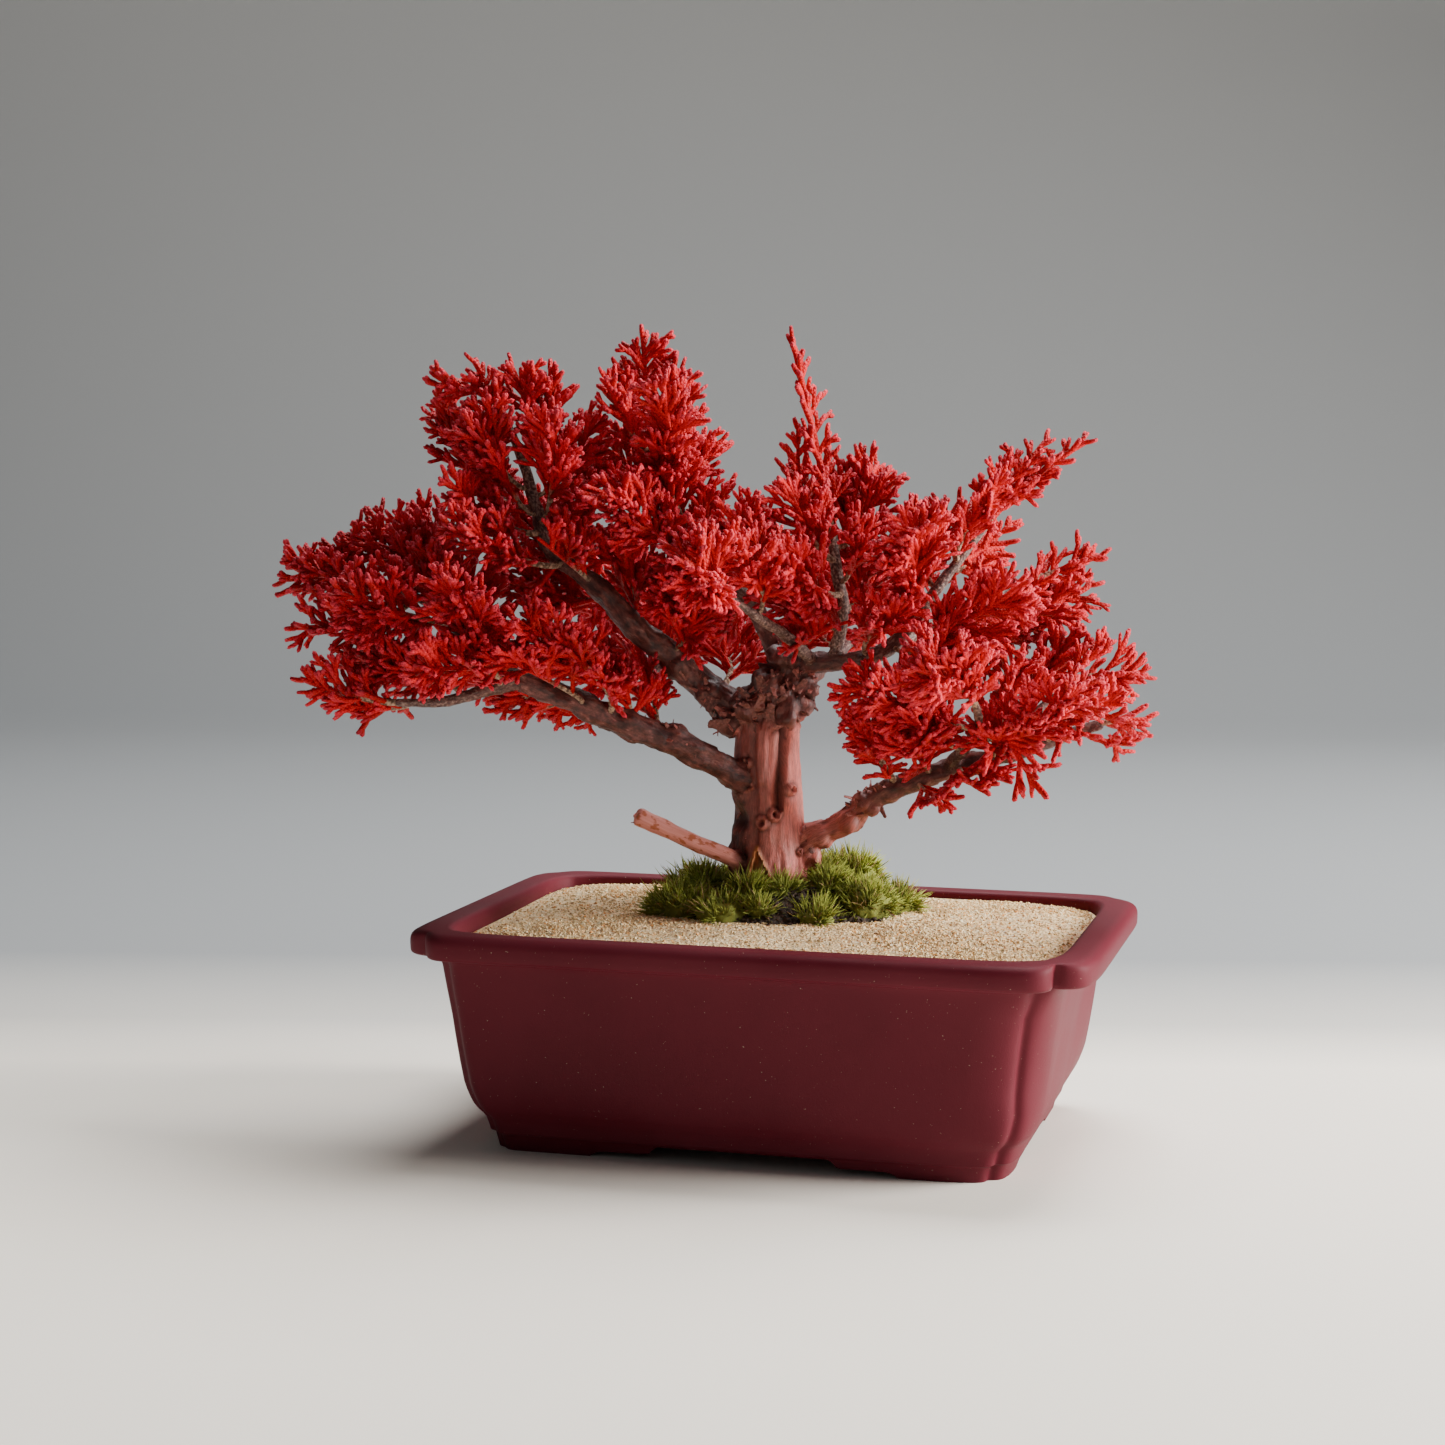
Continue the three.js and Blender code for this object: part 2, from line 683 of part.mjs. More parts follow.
// Whether an edge runs through the inside of a triangle
const probe = new THREE.Ray();
function pierces(from, to, [a, b, c]) {
  const length = from.distanceTo(to);
  probe.origin.copy(from);
  probe.direction.subVectors(to, from).divideScalar(length);
  const hit = probe.intersectTriangle(a, b, c, false, new THREE.Vector3());
  const depth = hit ? hit.distanceTo(from) : 0;
  return depth > 1e-3 && depth < length - 1e-3;
}

function cross(faceA, faceB) {
  const through = (one, two) => one.some((from, i) => pierces(from, one[(i + 1) % 3], two));
  return through(faceA, faceB) || through(faceB, faceA);
}

// A closed skin that grows new shoots out of its own faces
class Shoot {
  points = [];
  faces = [];

  ring(centre, across, direction, radius, sides) {
    const start = this.points.length;
    const side = new THREE.Vector3().crossVectors(direction, across);
    for (let j = 0; j < sides; j++) {
      const angle = (j / sides) * 2 * Math.PI;
      const point = centre.clone().addScaledVector(across, radius * Math.cos(angle));
      this.points.push(point.addScaledVector(side, radius * Math.sin(angle)));
    }
    return Array.from({ length: sides }, (_, j) => start + j);
  }

  // Joins two rings and returns where its triangles stand in the list
  wall(low, high) {
    const places = [];
    low.forEach((_, j) => {
      const next = (j + 1) % low.length;
      places.push(this.faces.length, this.faces.length + 1);
      this.faces.push([low[j], low[next], high[next]], [low[j], high[next], high[j]]);
    });
    return places;
  }

  close(ring, tip) {
    this.points.push(tip);
    ring.forEach((p, j) => this.faces.push([p, ring[(j + 1) % ring.length], this.points.length - 1]));
  }

  // Middle and outward direction of a face
  seat(place) {
    const [a, b, c] = this.faces[place].map((i) => this.points[i]);
    const middle = a.clone().add(b).add(c).divideScalar(3);
    const away = b.clone().sub(a).cross(c.clone().sub(a)).normalize();
    return { middle, away };
  }

  // Makes a change unless it would cross the rest of the skin
  grow(place, change) {
    const before = { points: this.points.length, faces: this.faces.length, face: this.faces[place] };
    const result = change();
    const corners = this.faces.map((face) => face.map((i) => this.points[i]));
    const boxes = corners.map((face) => new THREE.Box3().setFromPoints(face));
    const fresh = (i) => i >= before.faces || i === place;
    const meets = corners.some((face, i) => {
      if (!fresh(i)) return false;
      return corners.some((other, j) => {
        return j !== i && !(fresh(j) && j < i) && boxes[i].intersectsBox(boxes[j]) && cross(face, other);
      });
    });
    if (!meets) return result;
    this.points.length = before.points;
    this.faces.length = before.faces;
    this.faces[place] = before.face;
    return null;
  }

  // One scale leaf cord: the face is drawn out to a point
  leaf(place, tip) {
    return this.grow(place, () => {
      const [a, b, c] = this.faces[place];
      this.points.push(tip);
      const i = this.points.length - 1;
      this.faces[place] = [a, b, i];
      this.faces.push([b, c, i], [c, a, i]);
      return true;
    });
  }

  // A side shoot with an elbow and a tip, grown from a face. Returns the faces that can bear leaves
  branch(place, elbow, direction, radius, tip) {
    return this.grow(place, () => {
      const root = this.faces[place];
      const lead = this.points[root[0]].clone().sub(elbow).projectOnPlane(direction).normalize();
      const ring = this.ring(elbow, lead, direction, radius, 3);
      const first = this.faces.length;
      this.wall(root, ring);
      this.faces[place] = this.faces.pop();
      const cone = this.faces.length;
      this.close(ring, tip);
      return [first + 1, cone, first + 3, cone + 1, place, cone + 2];
    });
  }
}

// Where a spray leaves the wood: just clear of the bark, square to the limb or straight on from its end
function stemCurve(woodMesh, [name, place, tipAt]) {
  const limb = LIMBS[name];
  const curve = curveOf(limb);
  const centre = curve.getPointAt(place);
  const tip = vec(tipAt);
  const tangent = curve.getTangentAt(place);
  const aim = tip.clone().sub(centre);
  const outward = place === 1 ? tangent : aim.clone().projectOnPlane(tangent).normalize();
  const reach = 20;
  const eye = centre.clone().addScaledVector(outward, reach);
  const ray = new THREE.Raycaster(eye, outward.clone().negate(), 0, reach);
  const hit = ray.intersectObject(woodMesh)[0];
  const start = (hit ? hit.point : centre).clone().addScaledVector(outward, CLEAR + 0.1);
  const bend = start.clone().addScaledVector(outward, tip.distanceTo(start) * 0.36);
  return new THREE.QuadraticBezierCurve3(start, bend, tip);
}

function stepsOf(curve) {
  const steps = Math.round(curve.getLength() / STEM_STEP);
  return Math.min(Math.max(steps, FEWEST_STEPS), MOST_STEPS);
}

function rodsOfStem(curve, index) {
  const steps = stepsOf(curve);
  return Array.from({ length: steps }, (_, i) => {
    const [from, to] = [curve.getPointAt(i / steps), curve.getPointAt((i + 1) / steps)];
    const radii = [along(STEM_RADII, i / steps), i === steps - 1 ? 0.1 : along(STEM_RADII, (i + 1) / steps)];
    return { from, to, radii, spray: index };
  });
}

// A stem that would meet another stem or limb is swung aside a little
function settledStem(woodMesh, [name, place, tip], index) {
  for (let attempt = 0; ; attempt++) {
    const swung = tip.map((value) => value + spread(attempt * 0.8));
    const curve = stemCurve(woodMesh, [name, place, swung]);
    const stem = rodsOfStem(curve, index);
    const meets = stem.some((rod, i) => {
      return rods.some((other) => (i > 0 || other.spray >= 0) && gapBetween(rod, other) < BERTH);
    });
    if (meets && attempt < STEM_TRIES) continue;
    rods.push(...stem);
    return curve;
  }
}

function coreOf(curve) {
  const shoot = new Shoot();
  const steps = stepsOf(curve);
  const frames = curve.computeFrenetFrames(steps, false);
  const spots = Array.from({ length: steps }, (_, i) => i / steps);
  const rings = spots.map((t, i) => {
    return shoot.ring(curve.getPointAt(t), frames.normals[i], frames.tangents[i], along(STEM_RADII, t), 4);
  });
  shoot.faces.push([rings[0][0], rings[0][2], rings[0][1]], [rings[0][0], rings[0][3], rings[0][2]]);
  const walls = rings.slice(1).map((ring, i) => shoot.wall(rings[i], ring));
  shoot.close(rings[rings.length - 1], curve.getPointAt(1));
  return { shoot, walls, steps, curve };
}

function addSideShoot(core, index, step, side, size) {
  const { shoot, walls, steps, curve } = core;
  const place = walls[step][side * 2 + (step % 2)];
  const { middle, away } = shoot.seat(place);
  const t = (step + 0.5) / steps;
  const onward = curve.getTangentAt(t);
  for (let attempt = 0; attempt < SHOOT_TRIES; attempt++) {
    const length = size * along(REACH, t) * (1.1 - 0.1 * attempt + spread(0.12));
    const lean = new THREE.Vector3(spread(0.35), spread(0.35), spread(0.35) + 0.12);
    const first = away.clone().multiplyScalar(0.85).addScaledVector(onward, 0.7).add(lean).normalize();
    const later = first.clone().addScaledVector(onward, 0.4).add(new THREE.Vector3(0, 0, 0.15)).normalize();
    const elbow = middle.clone().addScaledVector(first, length * 0.45);
    const tip = elbow.clone().addScaledVector(later, length * 0.6);
    const inner = { from: middle, to: elbow, radii: [ROOT_REACH, SHOOT_RADIUS], spray: index };
    const last = { from: elbow, to: tip, radii: [SHOOT_RADIUS, 0.1], spray: index };
    if (!isFree(inner) || !isFree(last)) continue;
    const seats = shoot.branch(place, elbow, first.clone().add(later).normalize(), SHOOT_RADIUS, tip);
    if (!seats) continue;
    rods.push(inner, last);
    const leafLength = LEAF_LENGTH * Math.min(1, size / FULL_SPRAY);
    for (const seat of seats.slice(0, LEAVES)) addLeaf(shoot, seat, later, leafLength, index);
    return;
  }
}

function addLeaf(shoot, place, onward, size, index) {
  const { middle, away } = shoot.seat(place);
  const aim = away.clone().multiplyScalar(0.75).addScaledVector(onward, 0.75).normalize();
  for (const share of [1, 0.75]) {
    const tip = middle.clone().addScaledVector(aim, size * share * (0.85 + 0.3 * random()));
    const rod = { from: middle, to: tip, radii: [ROOT_REACH, 0.1], spray: index };
    if (!isFree(rod) || !shoot.leaf(place, tip)) continue;
    rods.push(rod);
    return;
  }
}

function makeFoliage(woodMesh) {
  rodsOfWood();
  const cores = SPRAYS.map((spray, index) => coreOf(settledStem(woodMesh, spray, index)));
  const most = Math.max(...cores.map((core) => core.walls.length));
  for (let step = 1; step < most; step++) {
    for (const half of [0, 2, 1, 3]) {
      cores.forEach((core, index) => {
        if (step >= core.walls.length) return;
        const side = (step + half + index) % 4;
        if (half % 2 === 0) return addSideShoot(core, index, step, side, SPRAYS[index][3]);
        const onward = core.curve.getTangentAt((step + 0.5) / core.steps);
        const leafLength = TWIG_LEAF_LENGTH * Math.min(1, SPRAYS[index][3] / FULL_SPRAY);
        addLeaf(core.shoot, core.walls[step][side * 2 + 1], onward, leafLength, index);
      });
    }
  }
  return cores.map(({ shoot }, index) => {
    const name = "spray_" + String(index + 1).padStart(2, "0");
    return piece(name, facets(shoot.points, shoot.faces), "foliage");
  });
}

// The whole object

function makeTree() {
  const tree = new THREE.Group();
  const wood = piece("wood", geometryOf(woodSolid(0)), "wood");
  tree.add(wood, ...makeFoliage(wood));
  tree.rotation.z = TREE_TURN;
  tree.position.copy(vec(TREE_PLACE));
  return tree;
}

function berthOfWood() {
  return solidOf(geometryOf(woodSolid(0.6)).rotateZ(TREE_TURN).translate(...TREE_PLACE));
}

const bonsai = new THREE.Group();
bonsai.add(makePot(), ...makeFilling(berthOfWood()), makeTree());

// The origin is below the middle of the whole object, on the surface it stands on
bonsai.updateMatrixWorld(true);
const reach = new THREE.Box3().setFromObject(bonsai, true);
const middle = reach.getCenter(new THREE.Vector3());
bonsai.position.set(-middle.x, -middle.y, -reach.min.z);
const part = new THREE.Group();
part.add(bonsai);

export default part;
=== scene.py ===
"""A shimpaku juniper bonsai with red foliage in an oblong plastic pot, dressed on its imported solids.

The tables give millimetres. The tree's own directions are right, away and up, seen from its best side.
The fine shoots of its foliage are called cords.
"""
import math

import bpy
import numpy as np
from bpy.props import FloatProperty, FloatVectorProperty, IntProperty, PointerProperty
from mathutils import Matrix, Vector, noise


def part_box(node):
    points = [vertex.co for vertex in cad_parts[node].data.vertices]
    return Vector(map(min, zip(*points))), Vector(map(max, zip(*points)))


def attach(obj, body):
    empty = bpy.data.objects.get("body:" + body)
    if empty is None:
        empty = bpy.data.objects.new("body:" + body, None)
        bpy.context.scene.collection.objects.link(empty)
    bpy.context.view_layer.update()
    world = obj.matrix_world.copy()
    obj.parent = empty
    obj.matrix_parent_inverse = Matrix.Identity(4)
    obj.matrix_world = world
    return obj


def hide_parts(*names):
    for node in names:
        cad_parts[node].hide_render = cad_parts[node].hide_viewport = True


bl_info = {
    "name": "Juniper bonsai",
    "version": (1, 0, 0),
    "blender": (4, 5, 0),
    "location": "View3D > Sidebar > Bonsai",
    "description": "Dresses a small potted juniper: pot, soil, sand, moss, bark and scale-leaf foliage",
    "category": "Add Mesh",
}

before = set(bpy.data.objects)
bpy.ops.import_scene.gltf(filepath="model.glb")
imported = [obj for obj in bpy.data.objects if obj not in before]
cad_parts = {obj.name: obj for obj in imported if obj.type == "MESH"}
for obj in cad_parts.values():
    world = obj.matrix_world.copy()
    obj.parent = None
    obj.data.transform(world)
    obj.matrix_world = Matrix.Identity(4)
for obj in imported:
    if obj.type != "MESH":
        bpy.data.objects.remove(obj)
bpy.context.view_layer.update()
MM = 0.001

# The pot

POT_LENGTH = 200
POT_WIDTH = 138
POT_HEIGHT = 65
RIM_INSET = 10
SIDE_SLOPE = 0.7
FOOT_HEIGHT = 4.2
FOOT_WALL = 6.5
FLOOR_TOP = 12.5
DRAIN_DIAMETER = 14
DRAIN_SPACING = 76

# Half the space between two feet, to the arch and to the low step, and the way that the arch runs
FEET = [(26, 42, (0, 1)), (15, 25, (1, 0))]
STEP_CURVE = [(4.4, -1), (3.6, 0), (2.2, 0.9), (0.6, 1.5), (-1, 1.7)]
ARCH_CURVE = [(3, 1.7), (1.6, 2), (0.4, 3.4), (-1, FOOT_HEIGHT)]

# Height, inset of the ends and size of the corner notch, up the outside
POT_SIDE = [
    (0, 24.6, 0.42), (4.2, 23.6, 0.42), (4.7, 23.2, 0.42), (5.1, 22.3, 0.42), (7, 21.8, 0.42), (9, 21.2, 0.42),
    (10.3, 20.3, 0.42), (11.5, 19.2, 0.42), (13, 18.2, 0.42), (15, 17.3, 0.42), (17.5, 16.4, 0.42),
    (20, 15.7, 0.42), (26, 14.7, 0.42), (33, 13.7, 0.42), (40, 12.8, 0.42), (48, 11.4, 0.44), (53, 10.5, 0.47),
    (54.6, 10.1, 0.5), (55.8, 9.6, 0.53), (56.6, 9.1, 0.57), (57.1, 8.6, 0.62),
]

# The rim: depth below its top, inset of the ends, inset of the sides, size of the notch, share smoothed away
RIM = [
    (7.6, 7.7, 5.5, 0.7, 0), (7.45, 6.3, 4.6, 0.78, 0), (7.4, 4.6, 3.6, 0.84, 0), (7.4, 3.2, 2.7, 0.89, 0),
    (7.45, 2.0, 1.9, 0.93, 0), (7.3, 1.0, 1.0, 0.96, 0), (6.9, 0.35, 0.35, 0.99, 0), (6.2, 0.08, 0.08, 1, 0),
    (4.6, 0, 0, 1, 0), (3.2, 0, 0, 1, 0.02), (2.4, 0.1, 0.1, 1, 0.05), (1.6, 0.4, 0.4, 0.99, 0.12),
    (0.95, 0.95, 0.95, 0.98, 0.22), (0.45, 1.75, 1.75, 0.96, 0.36), (0.12, 2.8, 2.8, 0.93, 0.5),
    (0, 4, 4, 0.9, 0.6),
]
MOUTH = [(0, 8.7), (0.05, 9.2), (0.25, 9.7), (0.6, 10.15)]

# The inside: height, inset of the ends, inset of the sides and size of the corners
INSIDE = [
    (63.8, 10.5, 10.45, 1), (62, 10.8, 10.7, 1), (60, 11, 10.8, 1), (48, 15, 12.8, 1.1), (22, 19, 14.4, 1.3),
    (12.5, 24, 18, 1.5),
]

# Half a corner each, as distances from where the sides would meet: lobes and a notch outside, a bow inside
LOBE = [
    (42, 0), (33, 0.1), (26, 0.4), (20, 1.0), (16.8, 1.6), (14.4, 2.6), (12.6, 4.1), (11.5, 6), (10.9, 8),
    (10.9, 10.9),
]
BOW = [(32, 0), (24, 0.3), (16, 1.1), (10.5, 2.5), (7, 4.2), (5.4, 5.4)]
LEFT_LOBE = [
    (42, 0), (33, 0), (25, 0), (19, 0.1), (15, 0.4), (12, 1.3), (10, 2.9), (8.8, 4.9), (8.1, 6.5), (7.6, 7.6),
]
LEFT_BOW = [(32, 0), (24, 0.1), (16, 0.5), (10, 1.5), (6, 3), (4.2, 4.2)]

# Under the rim: how far the front right corner draws in, by height, and the size of each corner's notch
DRAWN_IN = [(0, 1), (12, 1.2), (20, 2), (28, 3.2), (48, 3.4), (54, 1.8), (57.1, 1.2)]
SIDE_CORNERS = (1, 0.5, 1, 1)

# The filling

SAND_EDGE = POT_HEIGHT - 4
SAND_TOP = POT_HEIGHT - 2.6
SOIL_EDGE = SAND_EDGE - 2.4
WALL_GAP = 0.35
MOUND_CENTRE = (3, -2)
MOUND_RADII = (44, 32)
MOUND_TOP = 72
CUSHION_SINK = 1.2
SHOOT_POINTS = 7

# Moss: middle, radius and height of each cushion, those of the solids and smaller ones round the trunk
CUSHIONS = [
    (-27.5, -12, 12.5, 8), (-22, 8, 13, 8), (-15, -22, 11, 7), (-10, 21, 13, 8), (9, 23, 13, 8),
    (25, 12, 14, 13.5), (38, -2, 10, 8), (28, -13, 12, 8), (13, -25, 9, 5),
]
SMALL_CUSHIONS = [
    (-7, -15, 8, 6), (4, -15, 7, 5), (17, -10, 8, 7), (-20, -2, 9, 8), (17, 4, 9, 9), (-4, -24, 7, 5),
    (-5, 12, 8.5, 7), (8, 13, 8.5, 7),
]

# Where dark soil shows: middle and reach
BARE = [(4, -28, 8, 6), (-13, -26, 7, 5), (22, -24, 5, 4), (-24, -20, 4, 4)]

# The tree

TREE_PLACE = (-10, 21, 74)
TREE_TURN = math.radians(14.7)
FOOT_DEPTH = 26
FOOT_RADIUS = 9

# Limbs: route from the parent's middle to the tip, and radii spread evenly along it
LIMBS = {
    "trunk": ([(-0.8, 0, -1.5), (-0.8, 0, 4), (-0.8, 0, 23), (-1.6, 0, 41), (1, 0, 52), (5, 0, 61), (6, 0, 67)],
              [12.2, 10.8, 10, 9.5, 8.8, 7.6, 5.4]),
    "stub": ([(-2, -3, 0), (-8, -7, 4), (-22, -10, 10), (-41, -13, 19)], [3, 2.3, 2.3, 2.6]),
    "b1": ([(0, 0, 26), (-9, -5, 30.5), (-25, -11, 39.5), (-37, -14, 44.7), (-50, -17, 50), (-61, -20, 55.5),
            (-73, -22, 60), (-82, -24, 64)], [4.6, 3.7, 3.5, 3.3, 2.9, 2.4]),
    "low1": ([(-75, -22, 61), (-87, -28, 58), (-99, -31, 55), (-112, -33, 55)], [2.2, 1.5, 1]),
    "up1": ([(-80, -24, 63), (-89, -22, 70), (-96, -16, 76), (-104, -10, 83), (-118, -6, 89)], [2.2, 1.7, 1.3, 1]),
    "b2": ([(0, 0, 44), (-12, 2, 50), (-25, 0, 61), (-33, -3, 69), (-41, -6, 75), (-53, -9, 88), (-68, -10, 100),
            (-72, -9, 112), (-77, -6, 128), (-84, -4, 143)], [6.4, 4.4, 3.6, 2.9, 2, 1.45, 1]),
    "b3": ([(0, 0, 4), (13, -2, 11.8), (23, -4, 17), (32, -8, 25.4), (54, -14, 35), (69, -16, 39), (81, -17, 43),
            (99, -18, 49)], [5, 3.4, 3, 2.7, 2.2, 1.7, 1.1]),
    "b4": ([(5, 0, 64), (14, -10, 66), (23, -15, 67), (34, -19, 71), (45, -20, 84), (53, -18, 95), (64, -14, 109)],
           [3.2, 2.5, 2, 1.5, 1.1]),
    "b5": ([(18, -12, 66), (21, -16, 82), (19, -16, 93), (17, -13, 107)], [1.9, 1.6, 1.3]),
    "b6": ([(5, 1, 60), (0, 6, 71), (-7, 4, 84), (-16, 0, 91), (-25, -3, 104), (-32, -4, 120), (-38, -1, 142)],
           [3, 2.6, 2, 1.6, 1.3, 1.1]),
    "b7": ([(0, 2, 46), (-12, 16, 52), (-24, 30, 60), (-34, 42, 67), (-42, 50, 72)], [3.8, 2.9, 2.2, 1.3]),
    "b8": ([(-28, -1, 62), (-34, 9, 63), (-39, 18, 62), (-44, 26, 61)], [2, 1.4, 1]),
    "b9": ([(12, -8, 66), (5, -25, 74), (-6, -40, 82), (-14, -52, 88)], [1.9, 1.4, 1]),
    "b10": ([(52, -13, 34), (58, -26, 43), (60, -38, 51), (58, -48, 57)], [1.9, 1.4, 1]),
    "b11": ([(30, -17, 69), (46, -6, 76), (62, 6, 82), (80, 14, 90)], [1.9, 1.4, 1]),
    "b12": ([(66, -16, 38), (78, -10, 49), (92, -4, 60)], [1.8, 1.4, 1]),
    "b13": ([(3, 2, 55), (12, 16, 60), (20, 28, 65), (28, 42, 71)], [3.4, 2.6, 1.9, 1.2]),
    "b14": ([(5, 1, 62), (10, 14, 69), (12, 24, 76), (13, 30, 82)], [2.8, 2, 1.5, 1.1]),
}
YOUNG_LIMBS = {
    "up1": 0.5, "low1": 0.5, "b2": 0.8, "b3": 0.3, "b4": 0.9, "b5": 1, "b6": 1, "b7": 0.6, "b8": 0.7, "b9": 0.8,
    "b10": 0.7, "b11": 0.8, "b12": 0.6, "b13": 0.7, "b14": 0.8,
}

# Sprays of foliage: limb, place along it, tip of the spray, and how far its side shoots spread
SPRAYS = [
    ("up1", 1, (-145, -4, 90), 13), ("up1", 0.8, (-140, -16, 76), 13), ("up1", 0.62, (-122, 6, 106), 13),
    ("up1", 0.4, (-112, 16, 106), 15), ("up1", 0.5, (-124, -36, 86), 15), ("low1", 1, (-136, -30, 60), 11),
    ("low1", 0.5, (-119, -26, 64), 12), ("low1", 0.2, (-102, -52, 66), 14), ("up1", 0.15, (-92, -50, 88), 16),
    ("b1", 0.92, (-100, 12, 70), 16), ("b1", 0.74, (-69, -8, 51), 9), ("b1", 0.62, (-74, -42, 79), 15),
    ("b2", 1, (-101, -2, 149), 10), ("b2", 0.88, (-78, -6, 151), 11), ("b2", 0.76, (-101, 5, 142), 13),
    ("b2", 0.7, (-95, -26, 118), 11), ("b2", 0.62, (-93, -36, 106), 13.5), ("b2", 0.72, (-66, -26, 136), 15),
    ("b2", 0.56, (-92, 24, 116), 16), ("b6", 1, (-40, 2, 160), 10.5), ("b6", 0.86, (-50, -10, 148), 10),
    ("b6", 0.88, (-27, 8, 148), 9), ("b6", 0.76, (-19, 8, 128), 12), ("b6", 0.7, (-52, 16, 134), 14),
    ("b6", 0.78, (-33, -34, 146), 14), ("b6", 0.52, (-10, 20, 106), 14), ("b6", 0.5, (-48, -32, 118), 16),
    ("b6", 0.38, (-11, -28, 108), 15), ("b5", 1, (5, -5, 163), 6), ("b5", 0.86, (29, 0, 125), 13),
    ("b5", 0.76, (5, -28, 116), 13), ("b5", 0.52, (2, -48, 98), 14), ("b4", 1, (91, -12, 132), 7),
    ("b4", 0.82, (66, -22, 121), 9), ("b4", 0.8, (67, 8, 100), 11), ("b4", 0.62, (42, 12, 108), 13),
    ("b4", 0.55, (68, -36, 88), 16), ("b4", 0.6, (42, -48, 108), 16), ("b11", 1, (99, 16, 97), 9),
    ("b11", 0.6, (90, 32, 84), 14), ("b12", 1, (109, -2, 62), 12), ("b12", 0.4, (84, 8, 62), 14),
    ("b3", 1, (108, -18, 50), 10), ("b3", 0.85, (99, -36, 56), 12), ("b3", 0.6, (60, -28, 31), 10.5),
    ("b3", 0.52, (44, -42, 49), 14), ("b3", 0.42, (25, -26, 50), 12), ("b10", 1, (42, -72, 68), 16),
    ("b10", 0.5, (84, -54, 60), 15), ("b8", 1, (-56, 44, 60), 14), ("b9", 1, (-24, -74, 96), 16),
    ("b7", 1, (-58, 62, 84), 17), ("b7", 0.4, (-24, 50, 75), 16), ("b13", 1, (36, 54, 74), 16),
    ("b14", 1, (14, 42, 96), 16),
]

# Smaller sprays between them, with the number of the spray that each belongs to at the end
INFILL = [
    ("b2", 0.8, (-89, -12, 140), 13, 15), ("b2", 0.74, (-83, -16, 127), 13, 16), ("b2", 0.86, (-68, -8, 150), 10, 14),
    ("b2", 0.96, (-89, -6, 153), 8, 13), ("b2", 0.78, (-56, -6, 136), 13, 18), ("b2", 0.66, (-55, 10, 120), 15, 18),
    ("b6", 0.94, (-47, 0, 152), 8, 21), ("b6", 0.95, (-31, 0, 153), 8, 22), ("b6", 0.86, (-24, 4, 139), 7.9, 22),
    ("b6", 0.6, (-18, -4, 113), 13, 23), ("b6", 0.45, (-24, -20, 103), 13, 28), ("b2", 0.5, (-80, 8, 90), 14, 17),
    ("b2", 0.42, (-48, -4, 100), 15, 19), ("b6", 0.3, (-33, -14, 86), 14, 27), ("b5", 0.25, (-4, -4, 88), 13, 32),
    ("b5", 0.1, (12, 4, 76), 12, 55), ("b5", 0.4, (30, -6, 96), 13, 30), ("b5", 0.9, (6, -4, 124), 8, 31),
    ("b5", 0.98, (7, -8, 134), 7, 29),
    ("b5", 0.85, (20, -2, 122), 10, 30), ("b4", 0.97, (80, -12, 132), 7, 34), ("b4", 0.92, (72, -14, 122), 7, 34),
    ("b4", 0.85, (71, 0, 107), 6, 35), ("b11", 0.8, (97, 18, 87), 12, 40), ("b11", 0.4, (84, 16, 76), 11, 40),
    ("b12", 0.9, (100, -2, 70), 9, 41), ("b12", 0.7, (92, 4, 72), 11, 42), ("b10", 0.6, (24, -42, 62), 15, 48),
    ("b10", 0.3, (41, -32, 51), 12.5, 46), ("b12", 0.25, (73, -6, 64), 13, 42), ("b3", 0.7, (66, -38, 47), 13, 44),
    ("b3", 0.66, (66, -27, 34), 8, 45), ("b3", 0.76, (79, -24, 31), 7.9, 45), ("b3", 0.48, (51, -25, 27), 8.5, 45),
    ("b1", 0.85, (-85, -16, 56), 9, 10), ("b1", 0.78, (-75, -14, 51), 8, 11), ("b1", 0.66, (-62, -12, 50), 7, 11),
    ("b1", 0.45, (-43, 2, 68), 10.5, 50), ("b1", 0.55, (-48, -20, 63), 13, 50), ("low1", 0.9, (-127, -32, 54), 8, 6),
    ("low1", 0.7, (-126, -16, 67), 12, 7), ("b3", 0.95, (106, -22, 44), 6, 43),
    ("up1", 0.7, (-126, 0, 102), 12, 3), ("up1", 0.95, (-145, -6, 96), 9, 1), ("up1", 0.3, (-104, -24, 96), 14, 9),
    ("b4", 0.45, (52, -34, 74), 14, 37), ("b4", 0.35, (36, -40, 84), 15, 38), ("b6", 0.66, (-36, -18, 128), 14, 25),
    ("b1", 0.72, (-86, -40, 72), 13, 8), ("b4", 0.7, (54, -10, 112), 11, 36), ("b2", 0.55, (-70, -34, 104), 14, 17),
    ("b5", 0.6, (24, -26, 106), 12, 31), ("b9", 0.7, (-12, -56, 100), 14, 51), ("b7", 0.75, (-46, 42, 92), 14, 52),
    ("b13", 0.7, (20, 46, 84), 14, 54), ("b8", 0.5, (-36, 26, 76), 13, 50), ("b14", 0.7, (28, 34, 92), 14, 55),
    ("b7", 0.6, (-52, 48, 68), 13, 53), ("b2", 0.3, (-24, -22, 80), 13, 28), ("b4", 0.12, (22, -34, 80), 13, 32),
]

# Length of side shoots along a spray, as a share of its spread, and along a young leader
REACH = (0.8, 1.04, 1.06, 0.9, 0.6)
LEADER_REACH = (11, 10.5, 9, 6.5, 3.6)

# Stretches of limb that no shoot hides from the front
SHOWN = {"b1": (0, 0.9), "b2": (0, 0.88), "b3": (0, 0.43), "b4": (0, 0.75), "b5": (0, 0.8), "b6": (0.14, 0.3)}

